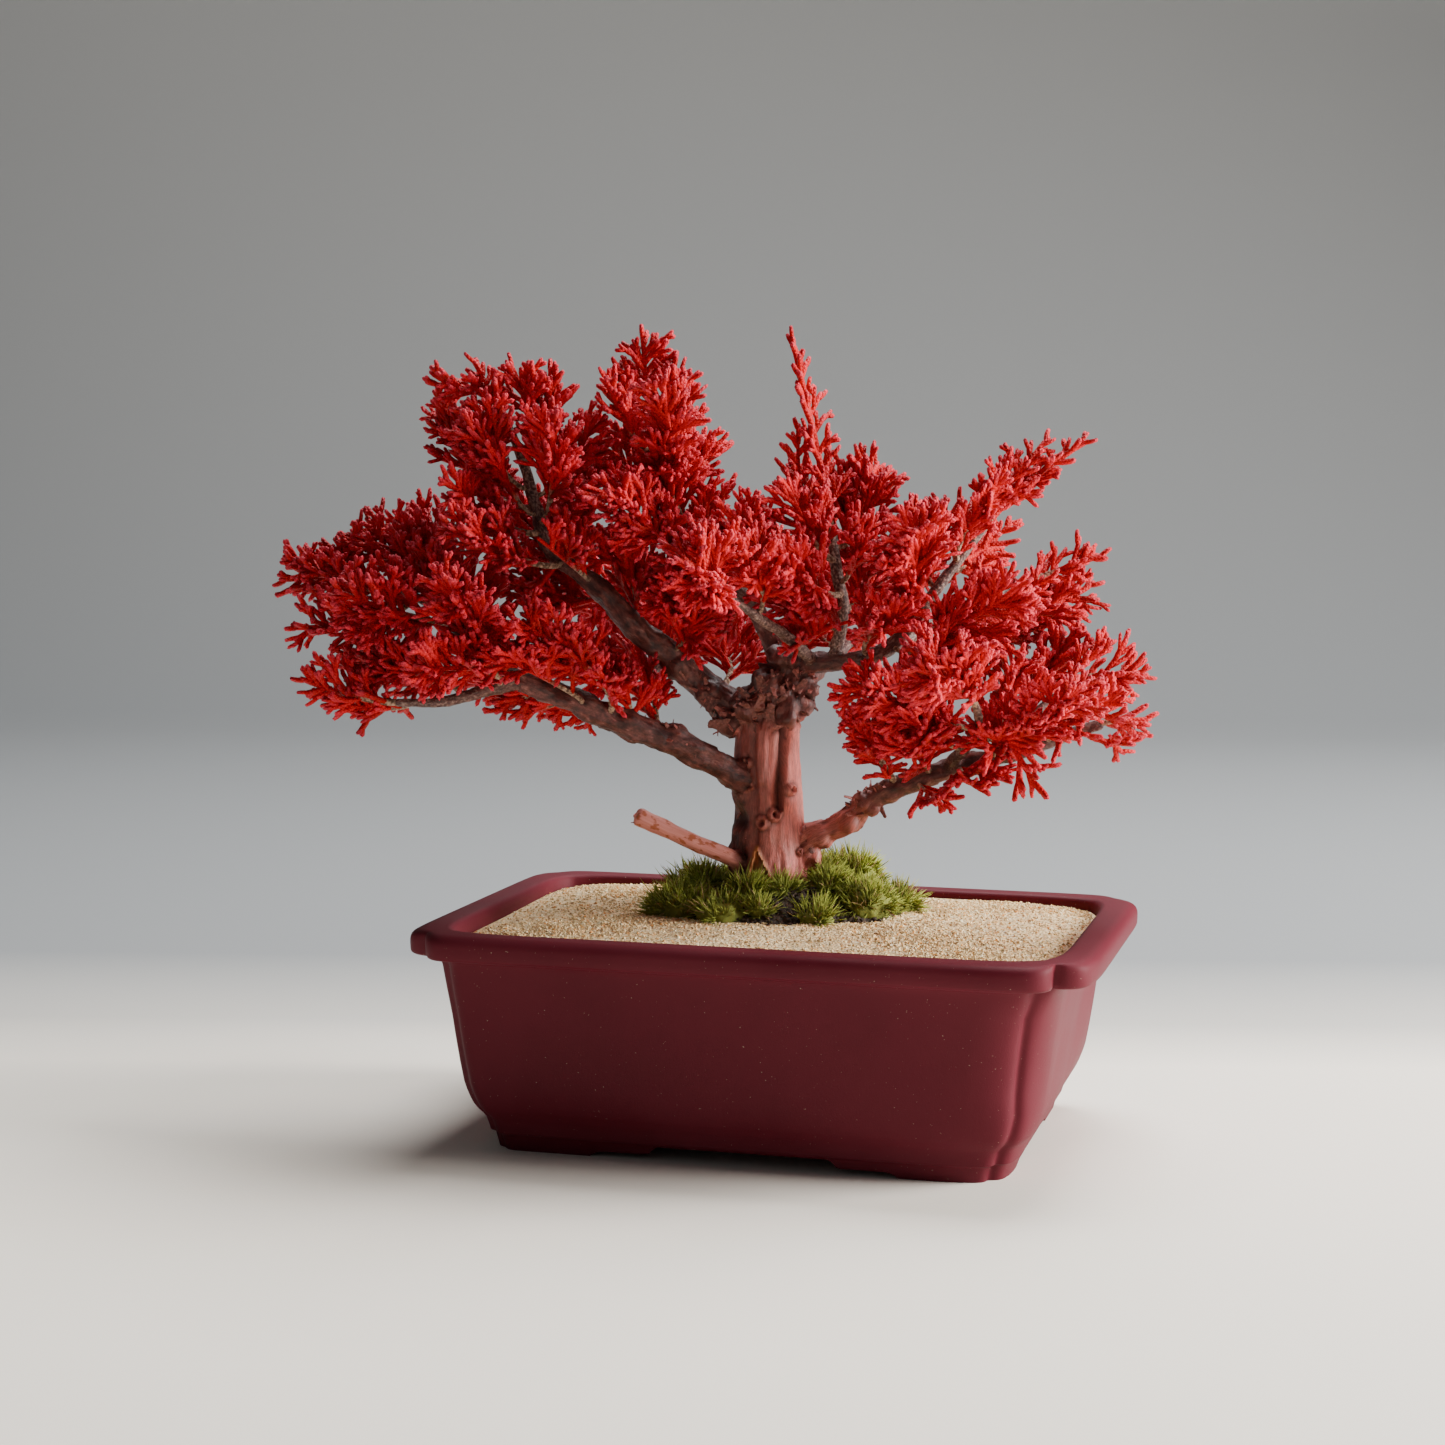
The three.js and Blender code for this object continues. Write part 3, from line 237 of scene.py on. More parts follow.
# A spray that spreads less than this is a young leader, red to its foot
SLIM_SPRAY = 8
CROWN_MIDDLE = (-15, 0, 85)
CROWN_RADII = (110, 60, 65)

# Marks on the front of the trunk, right and up from its foot: knots, hollows and their sizes
KNOTS = [
    (-2.9, 17, 1.6), (0.9, 19.4, 1.6), (5.2, 26.8, 1.3), (-7.4, 34.9, 1.1), (-6.6, 27.8, 0.8), (8.6, 7.5, 0.7),
]
HOLLOWS = [(-9, 17.6, 1.9, 3.1), (-8.6, 6, 1.2, 2.6), (-7.3, 36.2, 0.6, 1.6)]

# Grooves: line, depth, width, how far the bark beside it stands out, and on which side that is
GROOVES = [
    ([(4.4, 47), (3.9, 42), (3.2, 35), (2.5, 28), (2.6, 21.5)], 2.4, 1.15, 1.3, (1, 0)),
    ([(-5.4, 46), (-5.2, 38), (-4.6, 29), (-4.2, 20), (-4.3, 10)], 0.9, 0.8, 0.35, (1, 0)),
    ([(-1.2, 46), (-1.3, 37), (-2.2, 29)], 0.5, 0.5, 0.3, (-1, 0)),
    ([(-4.6, 28.6), (-2, 28.2), (0, 26.4)], 0.5, 0.5, 0.25, (0, 1)),
    ([(0.7, 45), (3, 45.2), (6, 46.8), (9.8, 49)], 1.1, 0.7, 1.5, (0, 1)),
    ([(6.4, 18), (7, 9), (8.4, 2)], 0.35, 0.9, 0.1, (1, 0)),
]
SPLIT = [(-6.8, -1), (-4.4, 8.8), (0.1, -1)]


def pot_matrix():
    low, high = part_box("pot")
    return Matrix.Translation(((low.x + high.x) / 2, (low.y + high.y) / 2, low.z))


POT_MATRIX = pot_matrix()
TREE_MATRIX = POT_MATRIX @ Matrix.Translation(Vector(TREE_PLACE) * MM) @ Matrix.Rotation(TREE_TURN, 4, "Z")


# Arrays and meshes


def unit(rows):
    rows = np.asarray(rows, float)
    return rows / np.maximum(np.linalg.norm(rows, axis=-1, keepdims=True), 1e-9)


def spaced(values, places):
    """Values spread evenly over 0 to 1, read at the given places."""
    return np.interp(places, np.linspace(0, 1, len(values)), values)


def roughness_at(points, scale, seed=0.0):
    """Smooth noise at each row of points, from -1 to 1."""
    shift = Vector((seed, seed * 1.7, -seed))
    return np.array([noise.noise(Vector(p) * scale + shift) for p in points])


def deselect():
    if bpy.context.object and bpy.context.object.mode != "OBJECT":
        bpy.ops.object.mode_set(mode="OBJECT")
    bpy.ops.object.select_all(action="DESELECT")


def pick(piece):
    deselect()
    piece.select_set(True)
    bpy.context.view_layer.objects.active = piece


def join(piece, other):
    pick(piece)
    other.select_set(True)
    bpy.ops.object.join()


def face_outwards():
    """Ends an edit with every face of the shape turned outwards."""
    bpy.ops.mesh.select_all(action="SELECT")
    bpy.ops.mesh.normals_make_consistent(inside=False)
    bpy.ops.object.mode_set(mode="OBJECT")


def mesh_piece(name, points, faces, uvs=None, values=None):
    """A new object from points in metres, faces, UV pairs for face corners and named values for points."""
    mesh = bpy.data.meshes.new(name)
    mesh.from_pydata(np.asarray(points).tolist(), [], faces.tolist() if isinstance(faces, np.ndarray) else faces)
    if uvs is not None:
        layer = mesh.uv_layers.new(name="UVMap")
        layer.data.foreach_set("uv", np.asarray(uvs, np.float32).ravel())
    for key, rows in (values or {}).items():
        set_values(mesh, key, rows)
    mesh.update()
    piece = bpy.data.objects.new(name, mesh)
    bpy.context.scene.collection.objects.link(piece)
    return piece


def set_values(mesh, key, rows):
    rows = np.asarray(rows, np.float32)
    kind, field = ("FLOAT", "value") if rows.ndim == 1 else ("FLOAT_VECTOR", "vector")
    attribute = mesh.attributes.get(key) or mesh.attributes.new(key, kind, "POINT")
    attribute.data.foreach_set(field, rows.ravel())


def rows_of(mesh, field="co"):
    """Every point's place, or with another field its normal."""
    rows = np.empty(len(mesh.vertices) * 3, np.float32)
    mesh.vertices.foreach_get(field, rows)
    return rows.reshape(-1, 3).astype(float)


def set_points(mesh, rows):
    mesh.vertices.foreach_set("co", np.asarray(rows, np.float32).ravel())
    mesh.update()


def smooth(piece, angle=None):
    pick(piece)
    if angle is None:
        bpy.ops.object.shade_smooth()
    else:
        bpy.ops.object.shade_smooth_by_angle(angle=math.radians(angle))


def apply_modifiers(piece):
    pick(piece)
    for modifier in list(piece.modifiers):
        bpy.ops.object.modifier_apply(modifier=modifier.name)


def dress(piece, material, nodes, place, angle=None):
    """Puts a finished piece in its place, with its shading and material, under the root body, and hides the imported
    nodes that it stands for.
    """
    piece.data.transform(place)
    smooth(piece, angle)
    piece.data.materials.append(material)
    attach(piece, "root")
    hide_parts(*nodes)


def taken(piece):
    """The points and triangles of a modelled shape, which is then removed, with triangles in one fixed order."""
    mesh = piece.data
    mesh.transform(piece.matrix_world)
    mesh.calc_loop_triangles()
    points = rows_of(mesh)
    rows = [triangle.vertices[:] for triangle in mesh.loop_triangles]
    faces = np.array(sorted(min(row[i:] + row[:i] for i in range(3)) for row in rows))
    bpy.data.objects.remove(piece)
    bpy.data.meshes.remove(mesh)
    return points, faces


def copies(template, count, corners):
    """The triangles of a shape with so many corners, stamped so many times."""
    return (np.asarray(template)[None] + (np.arange(count) * corners)[:, None, None]).reshape(-1, 3)


def joined(parts):
    """One set of points, triangles, UVs and values from a list of such sets."""
    count = 0
    points, faces, uvs = [], [], []
    values = {key: [] for key in parts[0][3]}
    for rows, tris, corners, named in parts:
        points.append(rows)
        faces.append(tris + count)
        uvs.append(corners)
        count += len(rows)
        for key in values:
            values[key].append(named[key])
    values = {key: np.concatenate(rows) for key, rows in values.items()}
    return np.concatenate(points), np.concatenate(faces), np.concatenate(uvs), values


# Routes


class Route:
    """A smooth curve through points, read by share of its length."""

    def __init__(self, points):
        stations = np.asarray(points, float)
        padded = np.vstack([2 * stations[0] - stations[1], stations, 2 * stations[-1] - stations[-2]])
        rows = []
        shares = np.linspace(0, 1, 41)[:, None]
        for i in range(len(stations) - 1):
            p0, p1, p2, p3 = padded[i:i + 4]
            slope1, slope2 = (p2 - p0) / 2, (p3 - p1) / 2
            cube, square = shares ** 3, shares ** 2
            rows.append(
                (2 * cube - 3 * square + 1) * p1 + (cube - 2 * square + shares) * slope1
                + (3 * square - 2 * cube) * p2 + (cube - square) * slope2
            )
        self.set(np.vstack([rows[0]] + [row[1:] for row in rows[1:]]))

    def set(self, rows):
        self.rows = rows
        steps = np.linalg.norm(np.diff(rows, axis=0), axis=1)
        self.marks = np.concatenate([[0], np.cumsum(steps)])
        self.length = self.marks[-1]

    def at(self, share):
        place = np.asarray(share) * self.length
        return np.stack([np.interp(place, self.marks, self.rows[:, k]) for k in range(3)], axis=-1)

    def onward(self, share):
        share = np.asarray(share, float)
        return unit(self.at(np.minimum(share + 0.01, 1)) - self.at(np.maximum(share - 0.01, 0)))


def bezier(start, bend, tip):
    shares = np.linspace(0, 1, 41)[:, None]
    route = Route.__new__(Route)
    route.set((1 - shares) ** 2 * start + 2 * shares * (1 - shares) * bend + shares ** 2 * tip)
    return route


def square_pair(onward):
    """Two directions square to each row and to each other, carried along without twist."""
    onward = np.atleast_2d(onward)
    first = np.cross(onward[0], (0, 0, 1) if abs(onward[0][2]) < 0.9 else (1, 0, 0))
    sides = [unit(first)]
    for row in onward[1:]:
        carried = sides[-1] - np.dot(sides[-1], row) * row
        sides.append(unit(carried))
    sides = np.array(sides)
    return sides, np.cross(onward, sides)


def tube(route, radii, sides, steps):
    """A closed tube along a route: points, triangles, UVs and share along it."""
    shares = np.linspace(0, 1, steps + 1)
    centres, onward = route.at(shares), route.onward(shares)
    across, upward = square_pair(onward)
    angles = np.arange(sides) / sides * 2 * math.pi
    reach = spaced(radii, shares)[:, None, None]
    rings = centres[:, None] + reach * (
        np.cos(angles)[None, :, None] * across[:, None] + np.sin(angles)[None, :, None] * upward[:, None]
    )
    points = np.vstack([rings.reshape(-1, 3), centres[:1], centres[-1:]])
    faces, corners = [], []
    last = len(points) - 1
    for i in range(steps):
        for j in range(sides):
            k = (j + 1) % sides
            a, b, c, d = i * sides + j, i * sides + k, (i + 1) * sides + k, (i + 1) * sides + j
            faces += [(a, b, c), (a, c, d)]
            u0, u1, v0, v1 = j / sides, (j + 1) / sides, shares[i] * route.length, shares[i + 1] * route.length
            corners += [(u0, v0), (u1, v0), (u1, v1), (u0, v0), (u1, v1), (u0, v1)]
    for j in range(sides):
        k = (j + 1) % sides
        faces += [(k, j, last - 1), (steps * sides + j, steps * sides + k, last)]
        corners += [(j / sides, 0)] * 3 + [(j / sides, route.length)] * 3
    share = np.concatenate([np.repeat(shares, sides), [0, 1]])
    return points, np.array(faces), np.array(corners), share


# Node groups and materials


class Tree:
    """Short ways to add and join nodes."""

    def __init__(self, tree):
        self.tree = tree

    def feed(self, socket, value):
        """Links what feeds a socket, or sets a constant straight on it."""
        if isinstance(value, bpy.types.NodeSocket):
            self.tree.links.new(value, socket)
        else:
            socket.default_value = (*value, 1) if socket.type == "RGBA" else value

    def add(self, kind, inputs=None, **settings):
        node = self.tree.nodes.new(kind)
        for key, value in settings.items():
            setattr(node, key, value)
        for key, value in (inputs or {}).items():
            self.feed(node.inputs[key], value)
        return node

    def maths(self, operation, *values):
        return self.add("ShaderNodeMath", dict(enumerate(values)), operation=operation).outputs[0]

    def times(self, first, second):
        return self.maths("MULTIPLY", first, second)

    def plus(self, first, second):
        return self.maths("ADD", first, second)

    def mixed(self, factor, first, second):
        """The first colour where the factor is 0 and the second where it is 1."""
        return self.add("ShaderNodeMix", {0: factor, 6: first, 7: second}, data_type="RGBA").outputs[2]

    def ramp(self, factor, stops):
        node = self.add("ShaderNodeValToRGB", {"Fac": factor})
        elements = node.color_ramp.elements
        while len(elements) < len(stops):
            elements.new(0.5)
        for element, (place, colour) in zip(elements, stops):
            element.position = place
            element.color = (*colour, 1)
        return node.outputs["Color"]

    def window(self, value, low, high):
        """0 below low, 1 above high and smooth between."""
        inputs = {"Value": value, "From Min": low, "From Max": high}
        return self.add("ShaderNodeMapRange", inputs, interpolation_type="SMOOTHSTEP").outputs["Result"]

    def noise(self, vector, scale=1.0, detail=4.0, roughness=0.55, distortion=0.0):
        inputs = {
            "Vector": vector, "Scale": scale, "Detail": detail, "Roughness": roughness, "Distortion": distortion,
        }
        return self.add("ShaderNodeTexNoise", inputs).outputs["Fac"]

    def streaks(self, grain, across, along, *detail):
        """Noise that is drawn out along the grain of the wood."""
        place = self.add("ShaderNodeMapping", {"Vector": grain, "Scale": (across, across, along)}).outputs[0]
        return self.noise(place, 1.0, *detail)

    def named(self, name, output="Fac"):
        return self.add("ShaderNodeAttribute", attribute_name=name).outputs[output]

    def group(self, maker, *values):
        """A shared node group, made when it is first needed, with its inputs in order."""
        if maker not in GROUPS:
            GROUPS[maker] = maker()
        return self.add("ShaderNodeGroup", dict(enumerate(values)), node_tree=GROUPS[maker]).outputs


GROUPS = {}


def new_group(name, inputs, outputs):
    """A group whose first input is a vector, with its inner ends."""
    group = bpy.data.node_groups.new(name, "ShaderNodeTree")
    for side, labels in (("INPUT", inputs), ("OUTPUT", outputs)):
        for label in labels:
            kind = "NodeSocketVector" if label == inputs[0] else "NodeSocketFloat"
            group.interface.new_socket(name=label, in_out=side, socket_type=kind)
    tree = Tree(group)
    return tree, tree.add("NodeGroupInput").outputs, tree.add("NodeGroupOutput").inputs


def mottle():
    """Patches at two sizes, for colour that wanders over a surface."""
    tree, given, out = new_group("Mottle", ["Vector", "Patch Scale", "Speck Scale"], ["Patches", "Specks"])
    for key, output, detail in (("Patch Scale", "Patches", 3.0), ("Speck Scale", "Specks", 2.0)):
        patches = tree.noise(given["Vector"], given[key], detail, 0.5)
        tree.feed(out[output], tree.window(patches, 0.35, 0.65))
    return tree.tree


def grit():
    """Fine relief and pits, as a height."""
    tree, given, out = new_group("Grit", ["Vector", "Grain Scale", "Pit Scale", "Pits"], ["Height"])
    grain = tree.noise(given["Vector"], given["Grain Scale"], 3.0, 0.5)
    pits = tree.add("ShaderNodeTexVoronoi", {"Vector": given["Vector"], "Scale": given["Pit Scale"]})
    depth = tree.times(tree.window(pits.outputs["Distance"], 0.0, 0.5), given["Pits"])
    tree.feed(out["Height"], tree.plus(grain, depth))
    return tree.tree


def scale_leaves():
    """Overlapping scale leaves in opposite pairs up a cord, read from its own UV map."""
    tree, given, out = new_group("Scale Leaves", ["UV", "Around", "Leaf Length"], ["Height", "Seam"])
    place = tree.add("ShaderNodeSeparateXYZ", {0: given["UV"]}).outputs
    around = tree.times(place[0], given["Around"])
    along = tree.maths("DIVIDE", place[1], given["Leaf Length"])
    rows = []
    for sign in ("ADD", "SUBTRACT"):
        turn = tree.times(tree.maths(sign, around, along), math.pi)
        rows.append(tree.maths("ABSOLUTE", tree.maths("SINE", turn)))
    height = tree.times(*rows)
    tree.feed(out["Height"], height)
    tree.feed(out["Seam"], tree.window(height, 0.25, 0.0))
    return tree.tree


def shaded(colour, share):
    return tuple(channel * share for channel in colour)


class Surface(Tree):
    """The nodes of a new material."""

    def __init__(self, name, shine=0.5, roughness=0.5):
        self.material = bpy.data.materials.new(name)
        self.material.use_nodes = True
        super().__init__(self.material.node_tree)
        self.shader = self.tree.nodes["Principled BSDF"].inputs
        self.shader["Specular IOR Level"].default_value = shine
        self.shader["Roughness"].default_value = roughness

    def place(self):
        return self.add("ShaderNodeTexCoord").outputs["Object"]

    def finished(self, colour, height, depth, strength=1.0, roughness=None):
        """The material, with its colour, its relief and perhaps a roughness that varies."""
        self.feed(self.shader["Base Color"], colour)
        if roughness is not None:
            self.feed(self.shader["Roughness"], roughness)
        bump = self.add("ShaderNodeBump", {"Strength": strength, "Distance": depth, "Height": height})
        self.feed(self.shader["Normal"], bump.outputs[0])
        return self.material


def plastic_material(settings):
    tree = Surface("burgundy plastic", 0.14)
    place = tree.place()
    patches = tree.group(mottle, place, 22.0, 900.0)["Patches"]
    base = tuple(settings.colour)
    pale = tuple(channel + 0.01 for channel in shaded(base, 1.35))
    colour = tree.mixed(tree.times(patches, 0.35), base, pale)
    dust = tree.times(tree.window(tree.noise(place, 1400.0, 2.0), 0.72, 0.78), 0.5)
    colour = tree.mixed(dust, colour, (0.5, 0.4, 0.3))
    relief = tree.group(grit, place, 2600.0, 900.0, 0.25)["Height"]
    return tree.finished(colour, relief, 0.00008, 0.5, tree.plus(tree.times(patches, 0.1), 0.53))


def sand_material(settings):
    tree = Surface("coarse sand", 0.3, 0.75)
    place = tree.place()
    cells = tree.add("ShaderNodeTexVoronoi", {"Vector": place, "Scale": 1000.0}).outputs
    tone = tree.add("ShaderNodeSeparateXYZ", {0: cells["Color"]}).outputs[0]
    base = tuple(settings.sand_colour)
    colour = tree.ramp(tone, [
        (0.0, (0.42, 0.2, 0.08)), (0.1, shaded(base, 0.66)), (0.26, base), (0.48, base), (0.66, (1.0, 0.82, 0.48)),
        (0.86, (1.0, 0.92, 0.66)), (0.91, (1.0, 0.5, 0.12)), (1.0, (0.75, 0.36, 0.12)),
    ])
    # Darker between the grains: painted shade in the gaps, whose mask also gives the relief
    gaps = tree.window(cells["Distance"], 0.75, 0.4)
    colour = tree.mixed(gaps, shaded(base, 0.7), colour)
    patches = tree.group(mottle, place, 35.0, 300.0)["Patches"]
    colour = tree.mixed(tree.times(patches, 0.14), colour, (0.66, 0.46, 0.26))
    return tree.finished(colour, gaps, 0.0004, 0.8)


def soil_material(settings):
    tree = Surface("potting soil", 0.5, 0.9)
    place = tree.place()
    patchy = tree.group(mottle, place, 260.0, 900.0)
    base = tuple(settings.soil_colour)
    colour = tree.mixed(patchy["Patches"], shaded(base, 0.45), base)
    colour = tree.mixed(tree.times(patchy["Specks"], 0.35), colour, (0.2, 0.12, 0.07))
    return tree.finished(colour, tree.group(grit, place, 900.0, 420.0, 0.8)["Height"], 0.0008)


def moss_material(settings):
    tree = Surface("moss", 0.12, 0.65)
    place = tree.place()
    base, fresh = tuple(settings.moss_colour), tuple(settings.moss_tip_colour)
    shade = tree.named("shade")
    # Low on the shoots and over the cushion bodies the moss is darker: painted shade deep in the mat
    low = tree.mixed(shade, shaded(base, 0.5), shaded(base, 0.76))
    patches = tree.group(mottle, place, 120.0, 700.0)["Patches"]
    high = tree.mixed(tree.times(patches, 0.45), tree.mixed(shade, base, fresh), shaded(base, 0.7))
    colour = tree.mixed(tree.window(tree.named("tip"), 0.0, 0.8), low, high)
    colour = tree.mixed(tree.window(tree.named("dry"), 0.4, 0.6), colour, (0.45, 0.3, 0.14))
    return tree.finished(colour, tree.group(grit, place, 1600.0, 900.0, 0.2)["Height"], 0.0002, 0.6)


def bark_material(settings):
    tree = Surface("juniper bark")
    grain = tree.named("grain", "Vector")
    base = tuple(settings.bark_colour)
    dark = shaded(base, 0.34)
    pale = tuple(min(1, channel + 0.03) for channel in shaded(base, 1.4))

    # The trunk
    strands = tree.streaks(grain, 1.6, 0.07, 6.0, 0.6, 0.3)
    fibres = tree.streaks(grain, 5.5, 0.3)
    blotch = tree.streaks(grain, 0.16, 0.07)
    colour = tree.ramp(strands, [(0.28, dark), (0.42, shaded(base, 0.85)), (0.55, base), (0.72, pale)])
    warm = tree.mixed(0.5, colour, (0.62, 0.25, 0.2))
    colour = tree.mixed(tree.window(blotch, 0.48, 0.66), colour, warm)
    deep = tree.mixed(0.6, colour, (0.2, 0.035, 0.02))
    colour = tree.mixed(tree.window(blotch, 0.46, 0.3), colour, deep)
    colour = tree.mixed(tree.times(tree.window(fibres, 0.54, 0.38), 0.55), colour, dark)

    # Old limbs and young ones; the old-bark colour also lies on the trunk's side turned from the light as painted
    # shade
    limb = tree.named("limb")
    old = tree.ramp(tree.streaks(grain, 0.7, 0.3, 5.0, 0.65), [
        (0.34, (0.028, 0.008, 0.007)), (0.49, (0.1, 0.024, 0.019)), (0.62, (0.2, 0.056, 0.045)),
        (0.76, (0.45, 0.2, 0.17)),
    ])
    colour = tree.mixed(limb, colour, old)
    specks = tree.streaks(grain, 1.6, 1.1, 3.0)
    young = tree.ramp(specks, [
        (0.38, (0.045, 0.02, 0.018)), (0.5, (0.15, 0.08, 0.065)), (0.6, (0.34, 0.225, 0.18)),
        (0.76, (0.56, 0.42, 0.34)),
    ])
    colour = tree.mixed(tree.named("young"), colour, young)

    # The split at the foot, bare wood on the stub, a painted highlight on the knots' rings, and painted shade in
    # hollows, grooves, knot holes, dents and the split
    colour = tree.mixed(tree.named("split"), colour, tree.mixed(strands, (0.3, 0.07, 0.02), (0.95, 0.38, 0.12)))
    flaky = tree.window(tree.streaks(grain, 0.5, 0.25, 3.0), 0.52, 0.6)
    peeled_and_highlight = tree.mixed(flaky, tree.mixed(strands, (0.6, 0.14, 0.1), (0.95, 0.44, 0.38)), (0.5, 0.12, 0.05))
    colour = tree.mixed(tree.named("peeled_and_highlight"), colour, peeled_and_highlight)
    # Painted shade in grooves, knot holes, hollows, dents and the split
    colour = tree.mixed(tree.times(tree.named("cavity_shade"), 0.85), colour, (0.03, 0.008, 0.006))
    height = tree.plus(tree.times(strands, 0.6), tree.times(fibres, 0.3))
    height = tree.plus(height, tree.times(tree.times(specks, limb), 0.5))
    return tree.finished(colour, height, 0.0006, 0.7, tree.plus(tree.times(strands, 0.3), 0.36))


def foliage_material(settings):
    tree = Surface("scale-leaf foliage", 0.15)
    scales = tree.group(scale_leaves, tree.add("ShaderNodeUVMap").outputs[0], 3.0, 1.25)
    base, deep = tuple(settings.colour), tuple(settings.deep_colour)
    colour = tree.mixed(tree.named("shade"), deep, base)
    # The outer half of each cord turns pink: fresh growth, with a painted pink sheen
    fresh = tree.times(tree.window(tree.named("tip"), 0.5, 1.0), 0.33)
    colour = tree.mixed(fresh, colour, tuple(settings.tip_colour))
    # Darker in the seams between scale leaves: painted shade
    colour = tree.mixed(tree.times(scales["Seam"], 0.45), colour, deep)
    patchy = tree.group(mottle, tree.place(), 90.0, 900.0)
    colour = tree.mixed(tree.times(patchy["Patches"], 0.25), colour, deep)
    twig = tree.mixed(patchy["Specks"], (0.13, 0.07, 0.045), (0.5, 0.33, 0.23))
    colour = tree.mixed(tree.window(tree.named("woody"), 0.35, 0.75), colour, twig)
    rough = tree.plus(tree.times(scales["Height"], -0.12), 0.55)
    return tree.finished(colour, scales["Height"], 0.00025, 0.7, rough)


def floor_material(settings):
    tree = Surface("studio floor", 0.5, 0.85)
    patchy = tree.group(mottle, tree.place(), 4.0, 60.0)
    base = tuple(settings.floor_colour)
    colour = tree.mixed(tree.times(patchy["Patches"], 0.05), base, shaded(base, 0.9))
    colour = tree.mixed(tree.named("far"), colour, tuple(settings.wall_colour))
    return tree.finished(colour, patchy["Specks"], 0.0002, 0.1)


# The pot's outlines


def fine_corner(half):
    """A whole corner, curved through its half and the same half turned over."""
    route = Route([(a, b, 0) for a, b in half] + [(b, a, 0) for a, b in half[-2::-1]])
    shares = np.concatenate([np.linspace(0, 0.32, 7)[:-1], np.linspace(0.32, 0.5, 15)])
    rows = route.at(shares)[:, :2]
    return np.vstack([rows, rows[-2::-1, ::-1]])


# Front right, back right, back left and front left
FINE_NOTCH = np.array([fine_corner(LOBE)] + [fine_corner(LEFT_LOBE)] * 3)
FINE_BOW = np.array([fine_corner(BOW)] + [fine_corner(LEFT_BOW)] * 3)
SIDE_POINTS = 10
SMOOTHING_PASSES = 9


def outline(half_length, half_width, height, corners):
    """A ring round the pot, seen from above: four corners, and points along each side."""
    ring = []
    for turn, (right, back) in enumerate([(1, -1), (1, 1), (-1, 1), (-1, -1)]):
        corner = corners[turn]
        steps = corner[::-1] if turn % 2 else corner
        ring += [(right * (half_length - a), back * (half_width - b)) for a, b in steps]
    count = len(corner)
    rows = []
    for turn in range(4):
        part = np.array(ring[turn * count:(turn + 1) * count])
        after = np.array(ring[((turn + 1) % 4) * count])
        shares = np.linspace(0, 1, SIDE_POINTS + 2)[1:-1, None]
        rows += [part, part[-1] * (1 - shares) + after * shares]
    flat = np.vstack(rows)
    return np.column_stack([flat, np.full(len(flat), height)])


def side_corners(height, size):
    """The four corners under the rim."""
    corners = FINE_NOTCH * np.reshape(SIDE_CORNERS, (4, 1, 1)) * size
    inward = np.interp(height, *zip(*DRAWN_IN)) * np.clip(1 - (corners[0] - 6) / 11.6, 0, 1) ** 2
    corners[0] += inward[:, ::-1]
    for _ in range(SMOOTHING_PASSES):
        corners[:, 1:-1] = (corners[:, :-2] + 2 * corners[:, 1:-1] + corners[:, 2:]) / 4
    return corners


def pot_ring(height, ends, sides, corner):
    return outline(POT_LENGTH / 2 - ends, POT_WIDTH / 2 - sides, height, corner)


def inside_ring(height, gap):
    levels = INSIDE[::-1]
    heights = [level[0] for level in levels]
    ends, sides, size = [np.interp(height, heights, [level[k] for level in levels]) for k in (1, 2, 3)]
    return pot_ring(height, ends + gap, sides + gap, FINE_BOW * size)


def lofted(rings, closed=True):
    """Quads between rings, with a face across each end."""
    count = len(rings[0])
    faces = []
    for i in range(len(rings) - 1):
        for j in range(count):
            k = (j + 1) % count
            faces.append((i * count + j, i * count + k, (i + 1) * count + k, (i + 1) * count + j))
    if closed:
        faces += [tuple(range(count))[::-1], tuple(range((len(rings) - 1) * count, len(rings) * count))]
    return np.vstack(rings), faces


